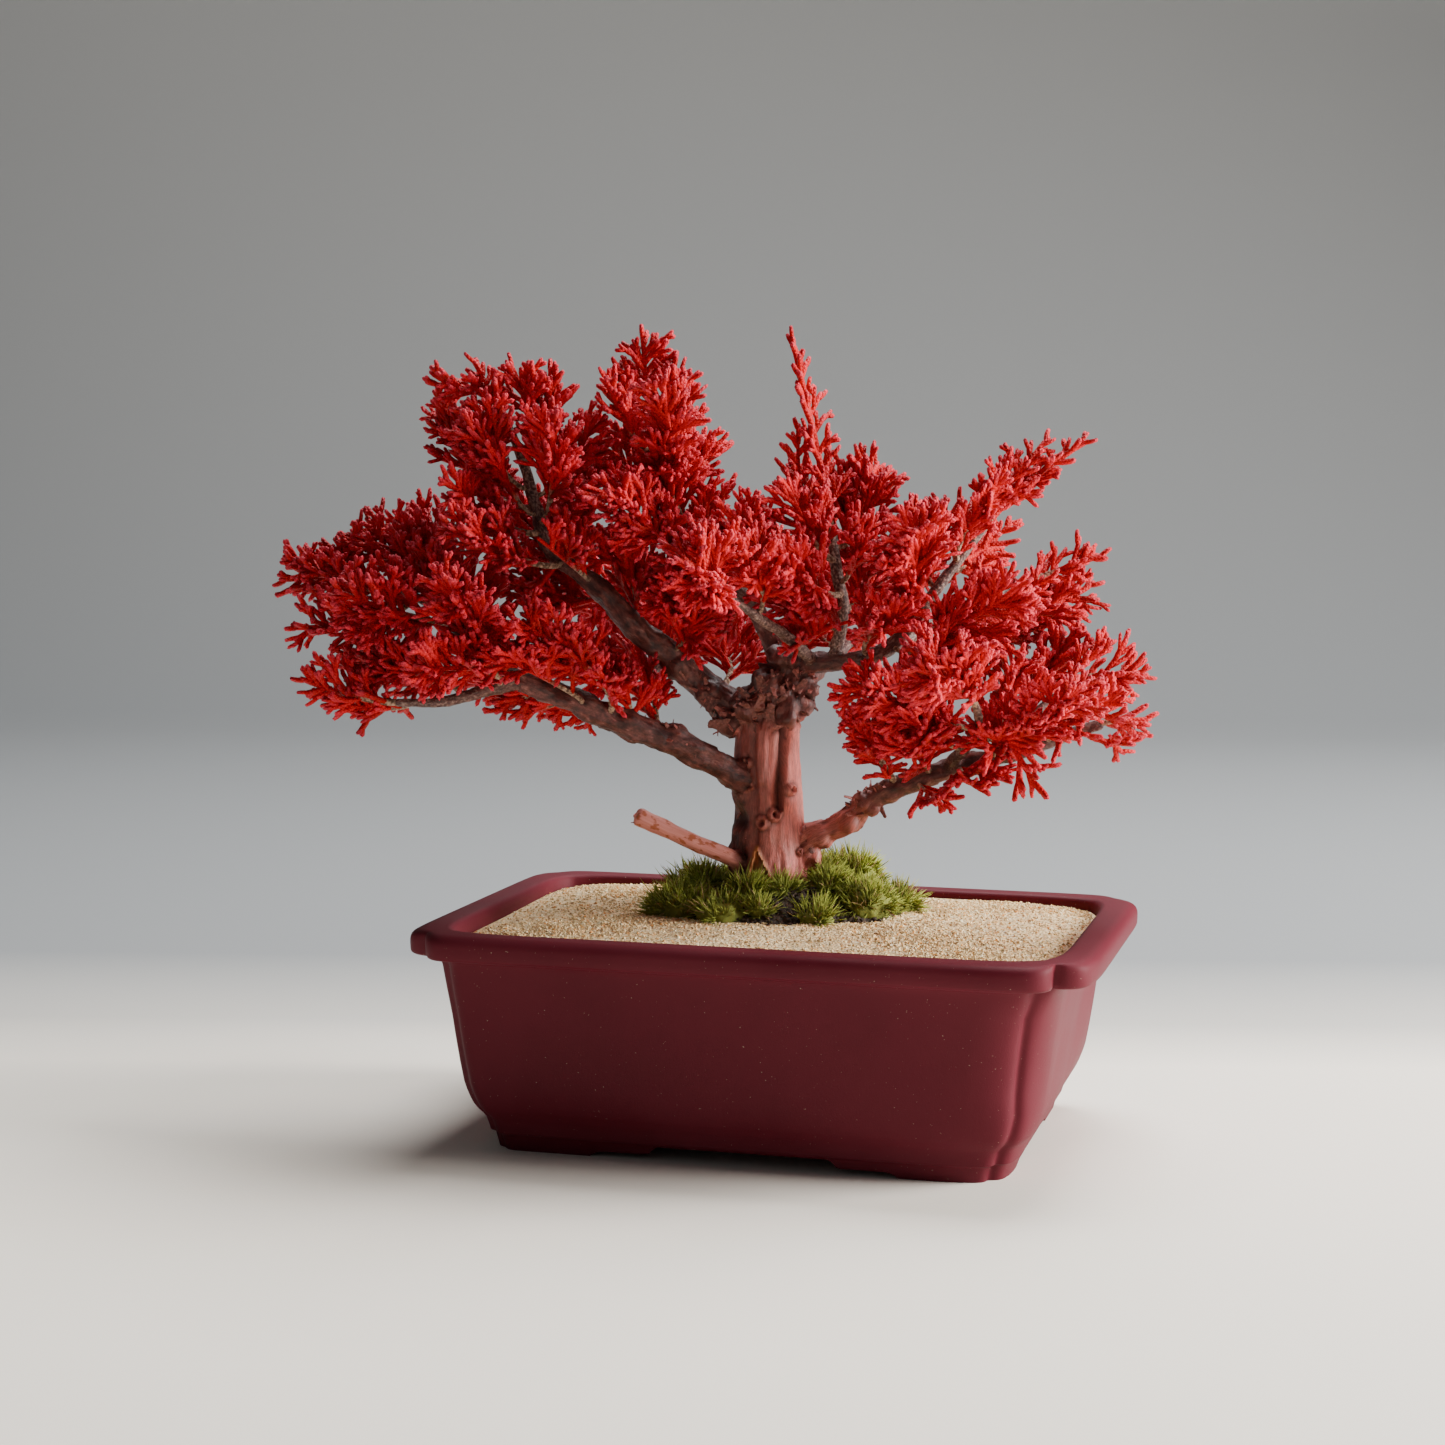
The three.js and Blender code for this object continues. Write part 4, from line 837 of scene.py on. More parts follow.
class BONSAI_OT_pot(bpy.types.Operator):
    """Lofts the pot from its outlines, and cuts its arches and drain holes"""

    bl_idname = "bonsai.pot"
    bl_label = "Make pot"

    def execute(self, context):
        first = POT_SIDE[0]
        inner = (first[1] + FOOT_WALL, first[1] * SIDE_SLOPE + FOOT_WALL)
        foot = side_corners(0, first[2])
        rings = [pot_ring(FOOT_HEIGHT + 0.4, *inner, foot), pot_ring(0, *inner, foot)]
        rings += [pot_ring(z, ends, ends * SIDE_SLOPE, side_corners(z, size)) for z, ends, size in POT_SIDE]
        for drop, ends, sides, size, smoothed in RIM:
            corner = FINE_NOTCH * size * (1 - smoothed) + FINE_BOW * smoothed
            rings.append(pot_ring(POT_HEIGHT - drop, ends, sides, corner))
        rings += [pot_ring(POT_HEIGHT - drop, inset, inset, FINE_BOW) for drop, inset in MOUTH]
        rings += [inside_ring(z, 0) for z, *_ in INSIDE]
        points, faces = lofted(rings)
        pot = mesh_piece("pot_body", points * MM, faces)
        for foot in FEET:
            self.cut(pot, self.arch_cutter(*foot))
        for side in (-1, 1):
            deselect()
            bpy.ops.mesh.primitive_cylinder_add(
                vertices=40, radius=DRAIN_DIAMETER / 2 * MM, depth=2 * FLOOR_TOP * MM,
                location=(side * DRAIN_SPACING / 2 * MM, 0, FLOOR_TOP / 2 * MM),
            )
            self.cut(pot, bpy.context.object)
        dress(pot, plastic_material(context.scene.bonsai_pot), ["pot"], POT_MATRIX, 38)
        return {"FINISHED"}

    def arch_cutter(self, arch, step, along):
        """A bar through the pot under the floor, with an eased step at each end of the arch."""
        half = [(step + x, z) for x, z in STEP_CURVE] + [(arch + x, z) for x, z in ARCH_CURVE]
        profile = half + [(-x, z) for x, z in half[::-1]]
        along = Vector((*along, 0))
        onward = Vector((-along.y, along.x, 0)) if along.x else Vector((1, 0, 0))
        rings = []
        for end in (-1, 1):
            rings.append([along * end * POT_LENGTH * 0.6 + onward * x + Vector((0, 0, z)) for x, z in profile])
        points, faces = lofted(rings)
        cutter = mesh_piece("cutter", points * MM, faces)
        pick(cutter)
        bpy.ops.object.mode_set(mode="EDIT")
        face_outwards()
        return cutter

    def cut(self, pot, cutter):
        modifier = pot.modifiers.new("cut", "BOOLEAN")
        modifier.operation = "DIFFERENCE"
        modifier.object = cutter
        apply_modifiers(pot)
        bpy.data.objects.remove(cutter)


# Soil, sand and moss


TURNED = np.array(Matrix.Rotation(TREE_TURN, 2))
TURNED_BACK = np.array(Matrix.Rotation(-TREE_TURN, 2))
MOUND_PLACE = np.array(TREE_PLACE[:2]) + np.array(Matrix.Rotation(TREE_TURN, 2) @ Vector(MOUND_CENTRE))


def oval(angle, share):
    """Points on the mound's outline, drawn in by a share."""
    return np.stack([np.cos(angle) * MOUND_RADII[0], np.sin(angle) * MOUND_RADII[1]], axis=1) * share


def mound_ring(size, height, like):
    """A ring round the mound, matched point for point with a ring of the pot."""
    away = (like[:, :2] - MOUND_PLACE) @ TURNED_BACK.T
    angle = np.arctan2(away[:, 1] / MOUND_RADII[1], away[:, 0] / MOUND_RADII[0])
    flat = oval(angle, size) @ TURNED.T + MOUND_PLACE
    return np.column_stack([flat, np.full(len(flat), height)])


def ground_at(flat):
    """Height of the soil's mound and of the sand round it, in the pot's own frame."""
    away = (flat - MOUND_PLACE) @ TURNED_BACK.T
    share = np.hypot(away[:, 0] / MOUND_RADII[0], away[:, 1] / MOUND_RADII[1])
    heights = (MOUND_TOP, MOUND_TOP - 1, MOUND_TOP - 4.6, SAND_TOP + 0.4, SAND_TOP)
    return np.interp(share, (0.3, 0.42, 0.64, 0.86, 0.9), heights)


def grains(template, places, sizes, seed):
    """Copies of a small lump, each turned and sized at random."""
    points, faces = template
    rng = np.random.default_rng(seed)
    count = len(places)
    turns = rng.normal(size=(count, 4))
    turns /= np.linalg.norm(turns, axis=1, keepdims=True)
    w, x, y, z = turns.T
    turn = np.stack([
        1 - 2 * (y * y + z * z), 2 * (x * y - z * w), 2 * (x * z + y * w),
        2 * (x * y + z * w), 1 - 2 * (x * x + z * z), 2 * (y * z - x * w),
        2 * (x * z - y * w), 2 * (y * z + x * w), 1 - 2 * (x * x + y * y),
    ], axis=1).reshape(-1, 3, 3)
    shape = points[None] * rng.uniform(0.7, 1.25, size=(count, 1, 3))
    placed = np.einsum("nij,nkj->nki", turn, shape) * sizes[:, None, None] + places[:, None]
    return placed.reshape(-1, 3), copies(faces, count, len(points))


def modelled_lump(subdivisions):
    """A small angular lump, as points of about unit radius and triangles."""
    deselect()
    if subdivisions:
        bpy.ops.mesh.primitive_ico_sphere_add(subdivisions=subdivisions, radius=1)
    else:
        bpy.ops.mesh.primitive_cone_add(
            vertices=4, radius1=1, depth=1, end_fill_type="NOTHING", location=(0, 0, 0.5)
        )
        bpy.ops.object.mode_set(mode="EDIT")
        bpy.ops.mesh.select_all(action="SELECT")
        bpy.ops.mesh.duplicate()
        bpy.ops.transform.resize(value=(1, 1, -1), center_override=(0, 0, 0))
        bpy.ops.mesh.select_all(action="SELECT")
        bpy.ops.mesh.remove_doubles(threshold=0.001)
        face_outwards()
    return taken(bpy.context.object)


class BONSAI_OT_soil(bpy.types.Operator):
    """Fills the pot with soil that rises to a crumbly mound round the trunk"""

    bl_idname = "bonsai.soil"
    bl_label = "Make soil"

    def execute(self, context):
        settings = context.scene.bonsai_filling
        low = [inside_ring(z, WALL_GAP) for z in (FLOOR_TOP + WALL_GAP, 22, 48, SOIL_EDGE)]
        like = inside_ring(SAND_EDGE, 0)
        rings = low + [mound_ring(1, SOIL_EDGE + 0.6, like)]
        for share in np.linspace(0.97, 0.24, 38):
            flat = mound_ring(share, 0, like)
            rough = roughness_at(flat, 0.45, 3.1) * 0.9 + roughness_at(flat, 1.3, 7.7) * 0.5
            flat[:, 2] = ground_at(flat[:, :2]) + rough * (share < 0.9)
            if share > 0.9:
                flat[:, 2] = np.interp(share, (0.9, 1), (SAND_TOP - 2.4, SOIL_EDGE + 0.6))
            rings.append(flat)
        points, faces = lofted(rings)
        soil = mesh_piece("soil_mound", points * MM, faces)
        join(soil, self.crumbs(settings))
        dress(soil, soil_material(settings), ["soil"], POT_MATRIX, 35)
        return {"FINISHED"}

    def crumbs(self, settings):
        rng = np.random.default_rng(41)
        count = settings.crumbs
        angle = rng.uniform(0, 2 * math.pi, count)
        share = rng.uniform(0.3, 0.9, count) ** 0.8
        flat = (oval(angle, share[:, None]) + MOUND_CENTRE) @ TURNED.T + TREE_PLACE[:2]
        places = np.column_stack([flat, ground_at(flat) + 0.1])
        points, faces = grains(modelled_lump(1), places, rng.uniform(0.4, 1.2, count), 5)
        return mesh_piece("crumbs", points * MM, faces)


class BONSAI_OT_sand(bpy.types.Operator):
    """Lays the coarse sand round the mound, with loose grains on its surface"""

    bl_idname = "bonsai.sand"
    bl_label = "Lay sand"

    def execute(self, context):
        settings = context.scene.bonsai_filling
        wall = inside_ring(SAND_EDGE, WALL_GAP)
        inner = mound_ring(0.885, SAND_TOP, wall)
        rings = [inside_ring(SOIL_EDGE + WALL_GAP, WALL_GAP)]
        for share in np.linspace(0, 1, 46) ** 0.85:
            ring = wall * (1 - share) + inner * share
            ring[:, 2] = self.height(ring, share)
            rings.append(ring)
        rings.append(mound_ring(1.025, SOIL_EDGE + 1, wall))
        points, faces = lofted(rings, closed=False)
        count = len(wall)
        last = (len(rings) - 1) * count
        faces += [(last + j, last + (j + 1) % count, (j + 1) % count, j) for j in range(count)]
        sand = mesh_piece("sand_bed", points * MM, faces)
        join(sand, self.loose(settings, wall, inner))
        dress(sand, sand_material(settings), ["sand"], POT_MATRIX, 30)
        return {"FINISHED"}

    def height(self, rows, share):
        """The sand's surface, highest beside the mound, with low ripples."""
        edge = SAND_EDGE + np.interp(rows[:, 0], (-90, -60, 60, 90), (-1.0, 0.7, 0.6, -0.9))
        edge = edge + np.interp(rows[:, 1], (-59, 0, 59), (-0.2, 0, 1))
        level = edge + (SAND_TOP + 0.6 - edge) * np.interp(share, (0, 0.22, 0.6, 1), (0, 0.5, 0.85, 1))
        ripple = roughness_at(rows, 0.09, 2.2) * 0.55 + roughness_at(rows, 0.6, 9.1) * 0.22
        return level + ripple * np.minimum(share * 8, 1)

    def loose(self, settings, wall, inner):
        """Grains between the pot's wall and the mound, as many on each patch as its width calls for."""
        rng = np.random.default_rng(77)
        count = settings.grains
        column = rng.uniform(0, len(wall), count)
        low = column.astype(int) % len(wall)
        part = (column - column.astype(int))[:, None]
        high = (low + 1) % len(wall)
        outer = wall[low] * (1 - part) + wall[high] * part
        near = inner[low] * (1 - part) + inner[high] * part
        weight = np.linalg.norm(outer - near, axis=1)
        keep = rng.uniform(0, weight.max(), count) < weight
        outer, near = outer[keep], near[keep]
        share = rng.uniform(0.01, 1, len(outer)) ** 0.9
        places = outer * (1 - share[:, None]) + near * share[:, None]
        places[:, 2] = self.height(places, share) + 0.05
        points, faces = grains(modelled_lump(0), places, rng.uniform(0.26, 0.6, len(places)), 6)
        return mesh_piece("loose", points * MM, faces)


class BONSAI_OT_moss(bpy.types.Operator):
    """Grows cushions of moss round the trunk, and the fine shoots that cover them"""

    bl_idname = "bonsai.moss"
    bl_label = "Grow moss"

    def execute(self, context):
        settings = context.scene.bonsai_filling
        rng = np.random.default_rng(12)
        every = CUSHIONS + SMALL_CUSHIONS
        parts = self.cushions(every)
        area = sum(radius * radius for _, _, radius, _ in every)
        for cushion in every:
            parts.append(self.shoots(cushion, int(settings.blades * cushion[2] ** 2 / area), rng))
        points, faces, uvs, values = joined(parts)
        moss = mesh_piece("moss_cushions", points * MM, faces, uvs, values)
        dress(moss, moss_material(settings), ["moss"], TREE_MATRIX)
        return {"FINISHED"}

    def middle(self, x, y):
        """The middle of a cushion, a little under the soil's surface."""
        flat = np.atleast_2d((x, y)) @ TURNED.T + TREE_PLACE[:2]
        return x, y, ground_at(flat)[0] - TREE_PLACE[2] - CUSHION_SINK

    def cushions(self, every):
        """A rounded body under the shoots of each cushion, dark as painted shade under them and a little lighter on
        top as painted light from above.
        """
        parts = []
        points, faces = modelled_lump(4)
        for x, y, radius, height in every:
            rows = points * (radius - 3.6, radius - 3.6, height - 2) + self.middle(x, y)
            swell = roughness_at(rows, 0.25, x) * 1.6 + roughness_at(rows, 0.9, y) * 0.7
            rows = rows + points * swell[:, None]
            none = np.zeros(len(rows))
            # Low tip values keep the bodies dark, as painted shade, and a little lighter on top, as painted light
            # from above
            values = {"tip": 0.05 + 0.1 * np.clip(points[:, 2], 0, 1), "shade": none + 0.3, "dry": none}
            parts.append((rows, faces, np.zeros((len(faces) * 3, 2)), values))
        return parts

    def shoots(self, cushion, count, rng):
        """Thin bent shoots with three sides, which spread from the middles of small round tufts."""
        x, y, radius, height = cushion
        tufts = max(5, int(radius * radius * 0.11))
        step = np.arange(tufts) + 0.5
        rise = 1 - step / tufts
        around = step * 2.4 + rng.uniform(0, 6)
        out = np.stack([np.cos(around), np.sin(around), rise], axis=1)
        out[:, :2] *= np.sqrt(1 - rise ** 2)[:, None]
        out = unit(out + rng.normal(size=out.shape) * 0.13)
        tone, tall = rng.uniform(0, 1, tufts), rng.uniform(0.75, 1.25, tufts)
        which = rng.integers(0, tufts, count)
        spread = rng.normal(size=(count, 3))
        start = out[which] * (radius - 4, radius - 4, height - 2.6) + self.middle(x, y)
        start = start + spread * 1.05
        normal = unit(out[which] / (radius, radius, height))
        aim = unit(normal + spread * 0.42 + rng.normal(size=(count, 3)) * 0.16 + (0, 0, 0.25))
        length = rng.uniform(2.8, 5.9, count) * tall[which]
        droop = rng.normal(size=(count, 3)) * 0.16 + (0, 0, -0.1)
        keep = self.mossy(start, rng)
        start, aim, length, droop, which = start[keep], aim[keep], length[keep], droop[keep], which[keep]
        count = len(start)
        side = unit(np.cross(aim, rng.normal(size=(count, 3))))
        other = np.cross(aim, side)
        shares = np.array([0, 0.6])
        width = np.array([0.19, 0.14])
        angles = np.arange(3) * 2 * math.pi / 3
        bent = aim[:, None] * shares[:, None] + droop[:, None] * (shares ** 2)[:, None]
        centre = start[:, None] + bent * length[:, None, None]
        ring = np.cos(angles)[:, None] * side[:, None] + np.sin(angles)[:, None] * other[:, None]
        rows = centre[:, :, None] + ring[:, None] * width[:, None, None]
        tip = start + (aim + droop) * length[:, None]
        rows = np.concatenate([rows.reshape(count, 6, 3), tip[:, None]], axis=1)
        template = [(0, 2, 1), (3, 4, 6), (4, 5, 6), (5, 3, 6)]
        for j in range(3):
            k = (j + 1) % 3
            template += [(j, k, 3 + k), (j, 3 + k, 3 + j)]
        faces = copies(template, count, SHOOT_POINTS)
        tips = np.tile(np.concatenate([np.repeat(shares, 3), [1]]), count)
        shade = np.repeat(np.clip(tone[which] * 0.8 + rng.normal(0.1, 0.12, count), 0, 1), SHOOT_POINTS)
        dry = np.repeat((rng.uniform(size=count) < 0.07).astype(float), SHOOT_POINTS)
        return rows.reshape(-1, 3), faces, np.zeros((len(faces) * 3, 2)), {"tip": tips, "shade": shade, "dry": dry}

    def mossy(self, start, rng):
        """Fewer shoots low on the front, where dark soil shows."""
        bare = np.zeros(len(start))
        for x, y, wide, deep in BARE:
            bare = np.maximum(bare, np.exp(-((start[:, 0] - x) / wide) ** 2 - ((start[:, 1] - y) / deep) ** 2))
        return rng.uniform(size=len(start)) > bare * 0.96


# Wood

# How many points are measured against the limbs at a time
BLOCK = 8000

# Burls and knobs: place on the tree and size across and up
LUMPS = [
    (-7, -4, 53, 5.5, 5), (-1, -5, 58, 5.5, 5), (8, -4, 60, 5, 5), (4, -5, 66, 4.2, 4), (-13, -2, 47, 4.2, 4.2),
    (10.5, -4, 62, 2.2, 2), (5, -5.5, 52, 5.6, 5.5), (11, -3, 7, 3.2, 4.6), (16, -4, 11.5, 2.6, 2.6),
    (24, -7, 17.6, 2.8, 3), (28, -8, 23.6, 2.9, 2.8), (31, -9, 21.8, 1.7, 1.7), (-9.5, -2, 6, 3.2, 4),
    (2, 9, 12, 4, 9), (-6, 8, 4, 4, 8), (13, 3, 3, 3.2, 3.4), (-30, -12, 43.5, 3.7, 3.8), (-44, -16, 48.5, 3.4, 3.4),
    (-20, -1, 56, 4.6, 4.4), (-29, -3, 64, 3.9, 4), (-9, -5, 2.5, 3.2, 2.8), (36, -10, 27.5, 2.6, 3.2),
    (-7.5, -3.5, 26.5, 4.2, 6.5), (-56, -19, 53.6, 3.2, 3.2), (-37, -4, 72, 2.9, 3),
    (-48, -8, 82, 2.5, 2.6), (26, -17, 67.5, 2.6, 2.5),
]

# Where flakes of bark crowd: place, reach and how many
FLAKE_CROWDS = [
    ((-6.5, -9, 53), 6, 38), ((0, -10, 58), 6, 34), ((8, -8, 60), 5, 26), ((-16, -4, 48), 5, 18),
    ((-22, -4, 56), 5, 10),
    ((-31, -13, 45), 4, 7), ((-38, -14, 48.5), 4, 6), ((23, -8, 21), 4, 14), ((28, -9, 26), 4, 12),
    ((33, -10, 29), 4, 8),
    ((0, 8, 58), 10, 20), ((0, 0, 30), 50, 46),
]

# Bigger flaps of bark: foot, way that they face, way that they grow, and length
FLAPS = [
    ((-9, -7.5, 47), (-0.5, -1, 0), (-0.3, 0, 1), 5), ((-6.5, -9.3, 49), (-0.4, -1, 0.1), (-0.35, 0, 1), 5.5),
    ((-4, -10, 51.5), (0.3, -1, 0.1), (0.1, 0, 1), 5.5), ((-1.5, -10.3, 49), (-0.3, -1, 0), (0.3, 0, 1), 5),
    ((1.5, -10.2, 52.5), (0.2, -1, 0.1), (0.5, 0, 1), 5), ((3.5, -9.8, 48.5), (0.2, -1, -0.5), (1, 0, 0.35), 5),
    ((7, -9.2, 50), (0.5, -1, -0.4), (1, 0, 0.5), 4.5), ((8, -9, 57), (0.5, -1, 0), (0.2, 0, 1), 5),
    ((-3, -10, 58), (-0.1, -1, 0.3), (-0.4, 0, 1), 5), ((-8, -9, 55), (-0.6, -1, 0.2), (-0.5, 0, 1), 5),
    ((-14, -7, 46), (-0.3, -1, -0.3), (-1, 0, 0.3), 6),
    ((-18, -5.5, 52), (-0.2, -1, 0.2), (-1, 0, 1), 6), ((-25, -4.5, 60), (0, -1, 0.3), (-1, 0, 0.8), 5),
    ((-30, -13.5, 44.5), (0, -0.8, 1), (-1, 0, 0.6), 4.5), ((-43, -17.5, 49.5), (0, -0.8, 1), (-1, 0, 0.6), 4.5),
    ((-20, -12, 37), (0, -1, -0.3), (-1, 0, 0.3), 4.5), ((25, -8, 22), (-0.3, -1, 0.5), (1, 0, 1), 4.5),
    ((29.5, -9.5, 26), (0, -1, 0.5), (1, 0, 0.7), 5), ((36, -10.5, 28.5), (0, -1, 0.6), (1, 0, 0.4), 4.5),
    ((33, -9, 22), (0.2, -1, -0.5), (0.6, 0, -1), 4), ((11.4, -5, 55.5), (0.95, -0.3, 0.1), (0.15, -0.2, -1), 5.4),
    ((12, -5.6, 11), (0.3, -1, 0.2), (0.1, 0, -1), 4.2), ((-9, -4, 9), (-1, -0.6, 0), (0, 0, 1), 4.5),
    ((-9.5, -3, 21), (-1, -0.4, 0), (0, 0, -1), 4),
]


def limb_samples():
    """Points along every limb with radius, direction, limb number and distance along it."""
    rows = {key: [] for key in ("centre", "onward", "across", "radius", "limb", "along")}
    for number, (name, (path, radii)) in enumerate(LIMBS.items()):
        route = Route(path)
        count = max(12, int(route.length / 1.2))
        shares = np.linspace(0, 1, count)
        onward = route.onward(shares)
        rows["centre"].append(route.at(shares))
        rows["onward"].append(onward)
        rows["across"].append(square_pair(onward)[0])
        rows["radius"].append(spaced(radii, shares))
        rows["limb"].append(np.full(count, number))
        rows["along"].append(shares * route.length)
    return {key: np.concatenate(parts) for key, parts in rows.items()}


def limb_gaps(points, samples):
    """Distance of each point from each sample's skin, a block of points at a time."""
    for start in range(0, len(points), BLOCK):
        away = points[start:start + BLOCK, None] - samples["centre"][None]
        yield start, np.linalg.norm(away, axis=2) - samples["radius"][None]


def nearest_samples(points, samples):
    chosen = np.empty(len(points), int)
    for start, gap in limb_gaps(points, samples):
        chosen[start:start + BLOCK] = gap.argmin(axis=1)
    return chosen


def line_gap(flat, line, side):
    """Distance of each flat point from a bent line, and how far it lies to one side."""
    best = np.full(len(flat), 1e9)
    beside = np.zeros(len(flat))
    for a, b in zip(line[:-1], line[1:]):
        a, b = np.array(a, float), np.array(b, float)
        share = np.clip(((flat - a) @ (b - a)) / ((b - a) @ (b - a)), 0, 1)
        away = flat - (a + share[:, None] * (b - a))
        gap = np.linalg.norm(away, axis=1)
        beside = np.where(gap < best, away @ np.array(side, float), beside)
        best = np.minimum(best, gap)
    return best, beside


def between(values, low, high):
    """1 from low to high, easing to 0 over a few millimetres past each."""
    return np.clip((values - low) / 3 + 0.6, 0, 1) * np.clip((high - values) / 3 + 0.6, 0, 1)


class BONSAI_OT_wood(bpy.types.Operator):
    """Grows trunk, limbs and stub as one skin, and carves its bark, flutes, knots and split"""

    bl_idname = "bonsai.wood"
    bl_label = "Grow wood"

    def execute(self, context):
        settings = context.scene.bonsai_wood
        wood = self.rough_shape()
        self.lumps(wood)
        remesh = wood.modifiers.new("skin", "REMESH")
        remesh.mode = "VOXEL"
        remesh.voxel_size = settings.voxel * 1
        blend = wood.modifiers.new("blend", "SMOOTH")
        blend.factor = 0.5
        blend.iterations = 3
        apply_modifiers(wood)
        self.fillets(wood)
        self.carve(wood)
        join(wood, self.flakes(wood))
        dress(wood, bark_material(settings), ["wood"], TREE_MATRIX, 50)
        return {"FINISHED"}

    def rough_shape(self):
        """Every limb as a rounded, tapering curve, in metres."""
        curve = bpy.data.curves.new("limbs", "CURVE")
        curve.dimensions = "3D"
        curve.bevel_depth = MM
        curve.bevel_resolution = 4
        curve.use_fill_caps = True
        for name, (path, radii) in LIMBS.items():
            route = Route(path)
            shares = np.linspace(0, 1, max(8, int(route.length / 1.5)))
            self.add_spline(curve, route.at(shares), spaced(radii, shares))
        foot = [(-0.8, 0, z) for z in (3, -1.5, -8, -16, -FOOT_DEPTH + 0.4)]
        self.add_spline(curve, foot, [10.5, 10.4, FOOT_RADIUS, FOOT_RADIUS - 0.8, FOOT_RADIUS - 2])
        wood = bpy.data.objects.new("bark", curve)
        bpy.context.scene.collection.objects.link(wood)
        pick(wood)
        bpy.ops.object.convert(target="MESH")
        return bpy.context.object

    def add_spline(self, curve, rows, radii):
        spline = curve.splines.new("POLY")
        spline.points.add(len(rows) - 1)
        for point, row, radius in zip(spline.points, rows, radii):
            point.co = (*(np.asarray(row) * MM), 1)
            point.radius = radius

    def lumps(self, wood):
        for x, y, z, wide, tall in LUMPS:
            deselect()
            bpy.ops.mesh.primitive_ico_sphere_add(
                subdivisions=3, radius=MM, location=(x * MM, y * MM, z * MM), scale=(wide, wide, tall)
            )
            join(wood, bpy.context.object)

    def fillets(self, wood):
        """Rounds the creases where one limb grows out of another."""
        points = rows_of(wood.data) / MM
        samples = limb_samples()
        firsts = np.flatnonzero(np.diff(samples["limb"], prepend=-1))
        group = wood.vertex_groups.new(name="creases")
        for start, gap in limb_gaps(points, samples):
            gap = np.sort(np.minimum.reduceat(gap, firsts, axis=1), axis=1)
            weight = np.exp(-((gap[:, 1] - gap[:, 0]) / 2.2) ** 2) * (np.abs(gap[:, 0]) < 2.5)
            for index in np.flatnonzero(weight > 0.05):
                group.add([start + int(index)], float(weight[index]), "REPLACE")
        crease = wood.modifiers.new("creases", "SMOOTH")
        crease.vertex_group = "creases"
        crease.factor = 0.6
        crease.iterations = 22
        apply_modifiers(wood)
        wood.vertex_groups.clear()

    def carve(self, wood):
        """Moves the skin in and out along its normals, and keeps what the bark's material needs to know."""
        mesh = wood.data
        points, normals = rows_of(mesh) / MM, rows_of(mesh, "normal")
        samples = limb_samples()
        near = nearest_samples(points, samples)
        away = points - samples["centre"][near]
        across = samples["across"][near]
        upward = np.cross(samples["onward"][near], across)
        angle = np.arctan2((away * upward).sum(1), (away * across).sum(1))
        along = samples["along"][near] + (away * samples["onward"][near]).sum(1)
        radius = samples["radius"][near]
        names = list(LIMBS)
        limb = samples["limb"][near]
        grain = np.stack([np.cos(angle) * radius, np.sin(angle) * radius, along + limb * 57.0], axis=1)
        trunk = (limb == 0) * np.clip((55 - points[:, 2]) / 8, 0, 1)
        stub = (limb == 1) * np.clip((-9 - points[:, 0]) / 4, 0, 1)
        rest = (1 - trunk - stub).clip(0, 1)
        size = np.clip(radius / 4, 0.25, 1)
        top = np.clip((points[:, 2] - 44) / 6, 0, 1) * (limb == 0)
        low_side = np.clip(-normals[:, 2], 0, 1) * ((limb == names.index("b1")) | (limb == names.index("b3")))
        left_side = np.clip(-normals[:, 0], 0, 1) * trunk
        # On the trunk's faces turned away from the right, the dark old-bark colour is laid on as painted shade
        painted_shade_side = np.clip(0.55 - normals[:, 0], 0, 1) * trunk

        broad = roughness_at(grain * (0.19, 0.19, 0.022), 1, 1.0)
        strands = roughness_at(grain * (0.55, 0.55, 0.03), 1, 3.0)
        fine = roughness_at(grain * (1.5, 1.5, 0.1), 1, 4.0)
        rough = roughness_at(grain * (0.5, 0.5, 0.28), 1, 6.0)
        coarse = roughness_at(grain * (0.28, 0.28, 0.15), 1, 9.0)
        plates = np.clip((roughness_at(grain * (0.4, 0.4, 0.13), 1, 13.0) - 0.04) / 0.05, 0, 1)
        lift = trunk * (broad * 0.7 + strands * 0.5 + fine * 0.16 + plates * 0.12)
        lift += rest * size * (rough * 0.6 + coarse * 0.9 + fine * 0.25 + plates * 0.55)
        lift += stub * (0.35 + strands * 0.5 + rough * 0.3 + fine * 0.2)
        lift += rest * 0.22 + low_side * 0.75 + left_side * 0.7
        lift += top * (coarse * 1.9 + rough * 1.1 + plates * 0.9)

        front = (normals[:, 1] < 0.15) * (limb == 0) * 1.0
        flat = points[:, [0, 2]]
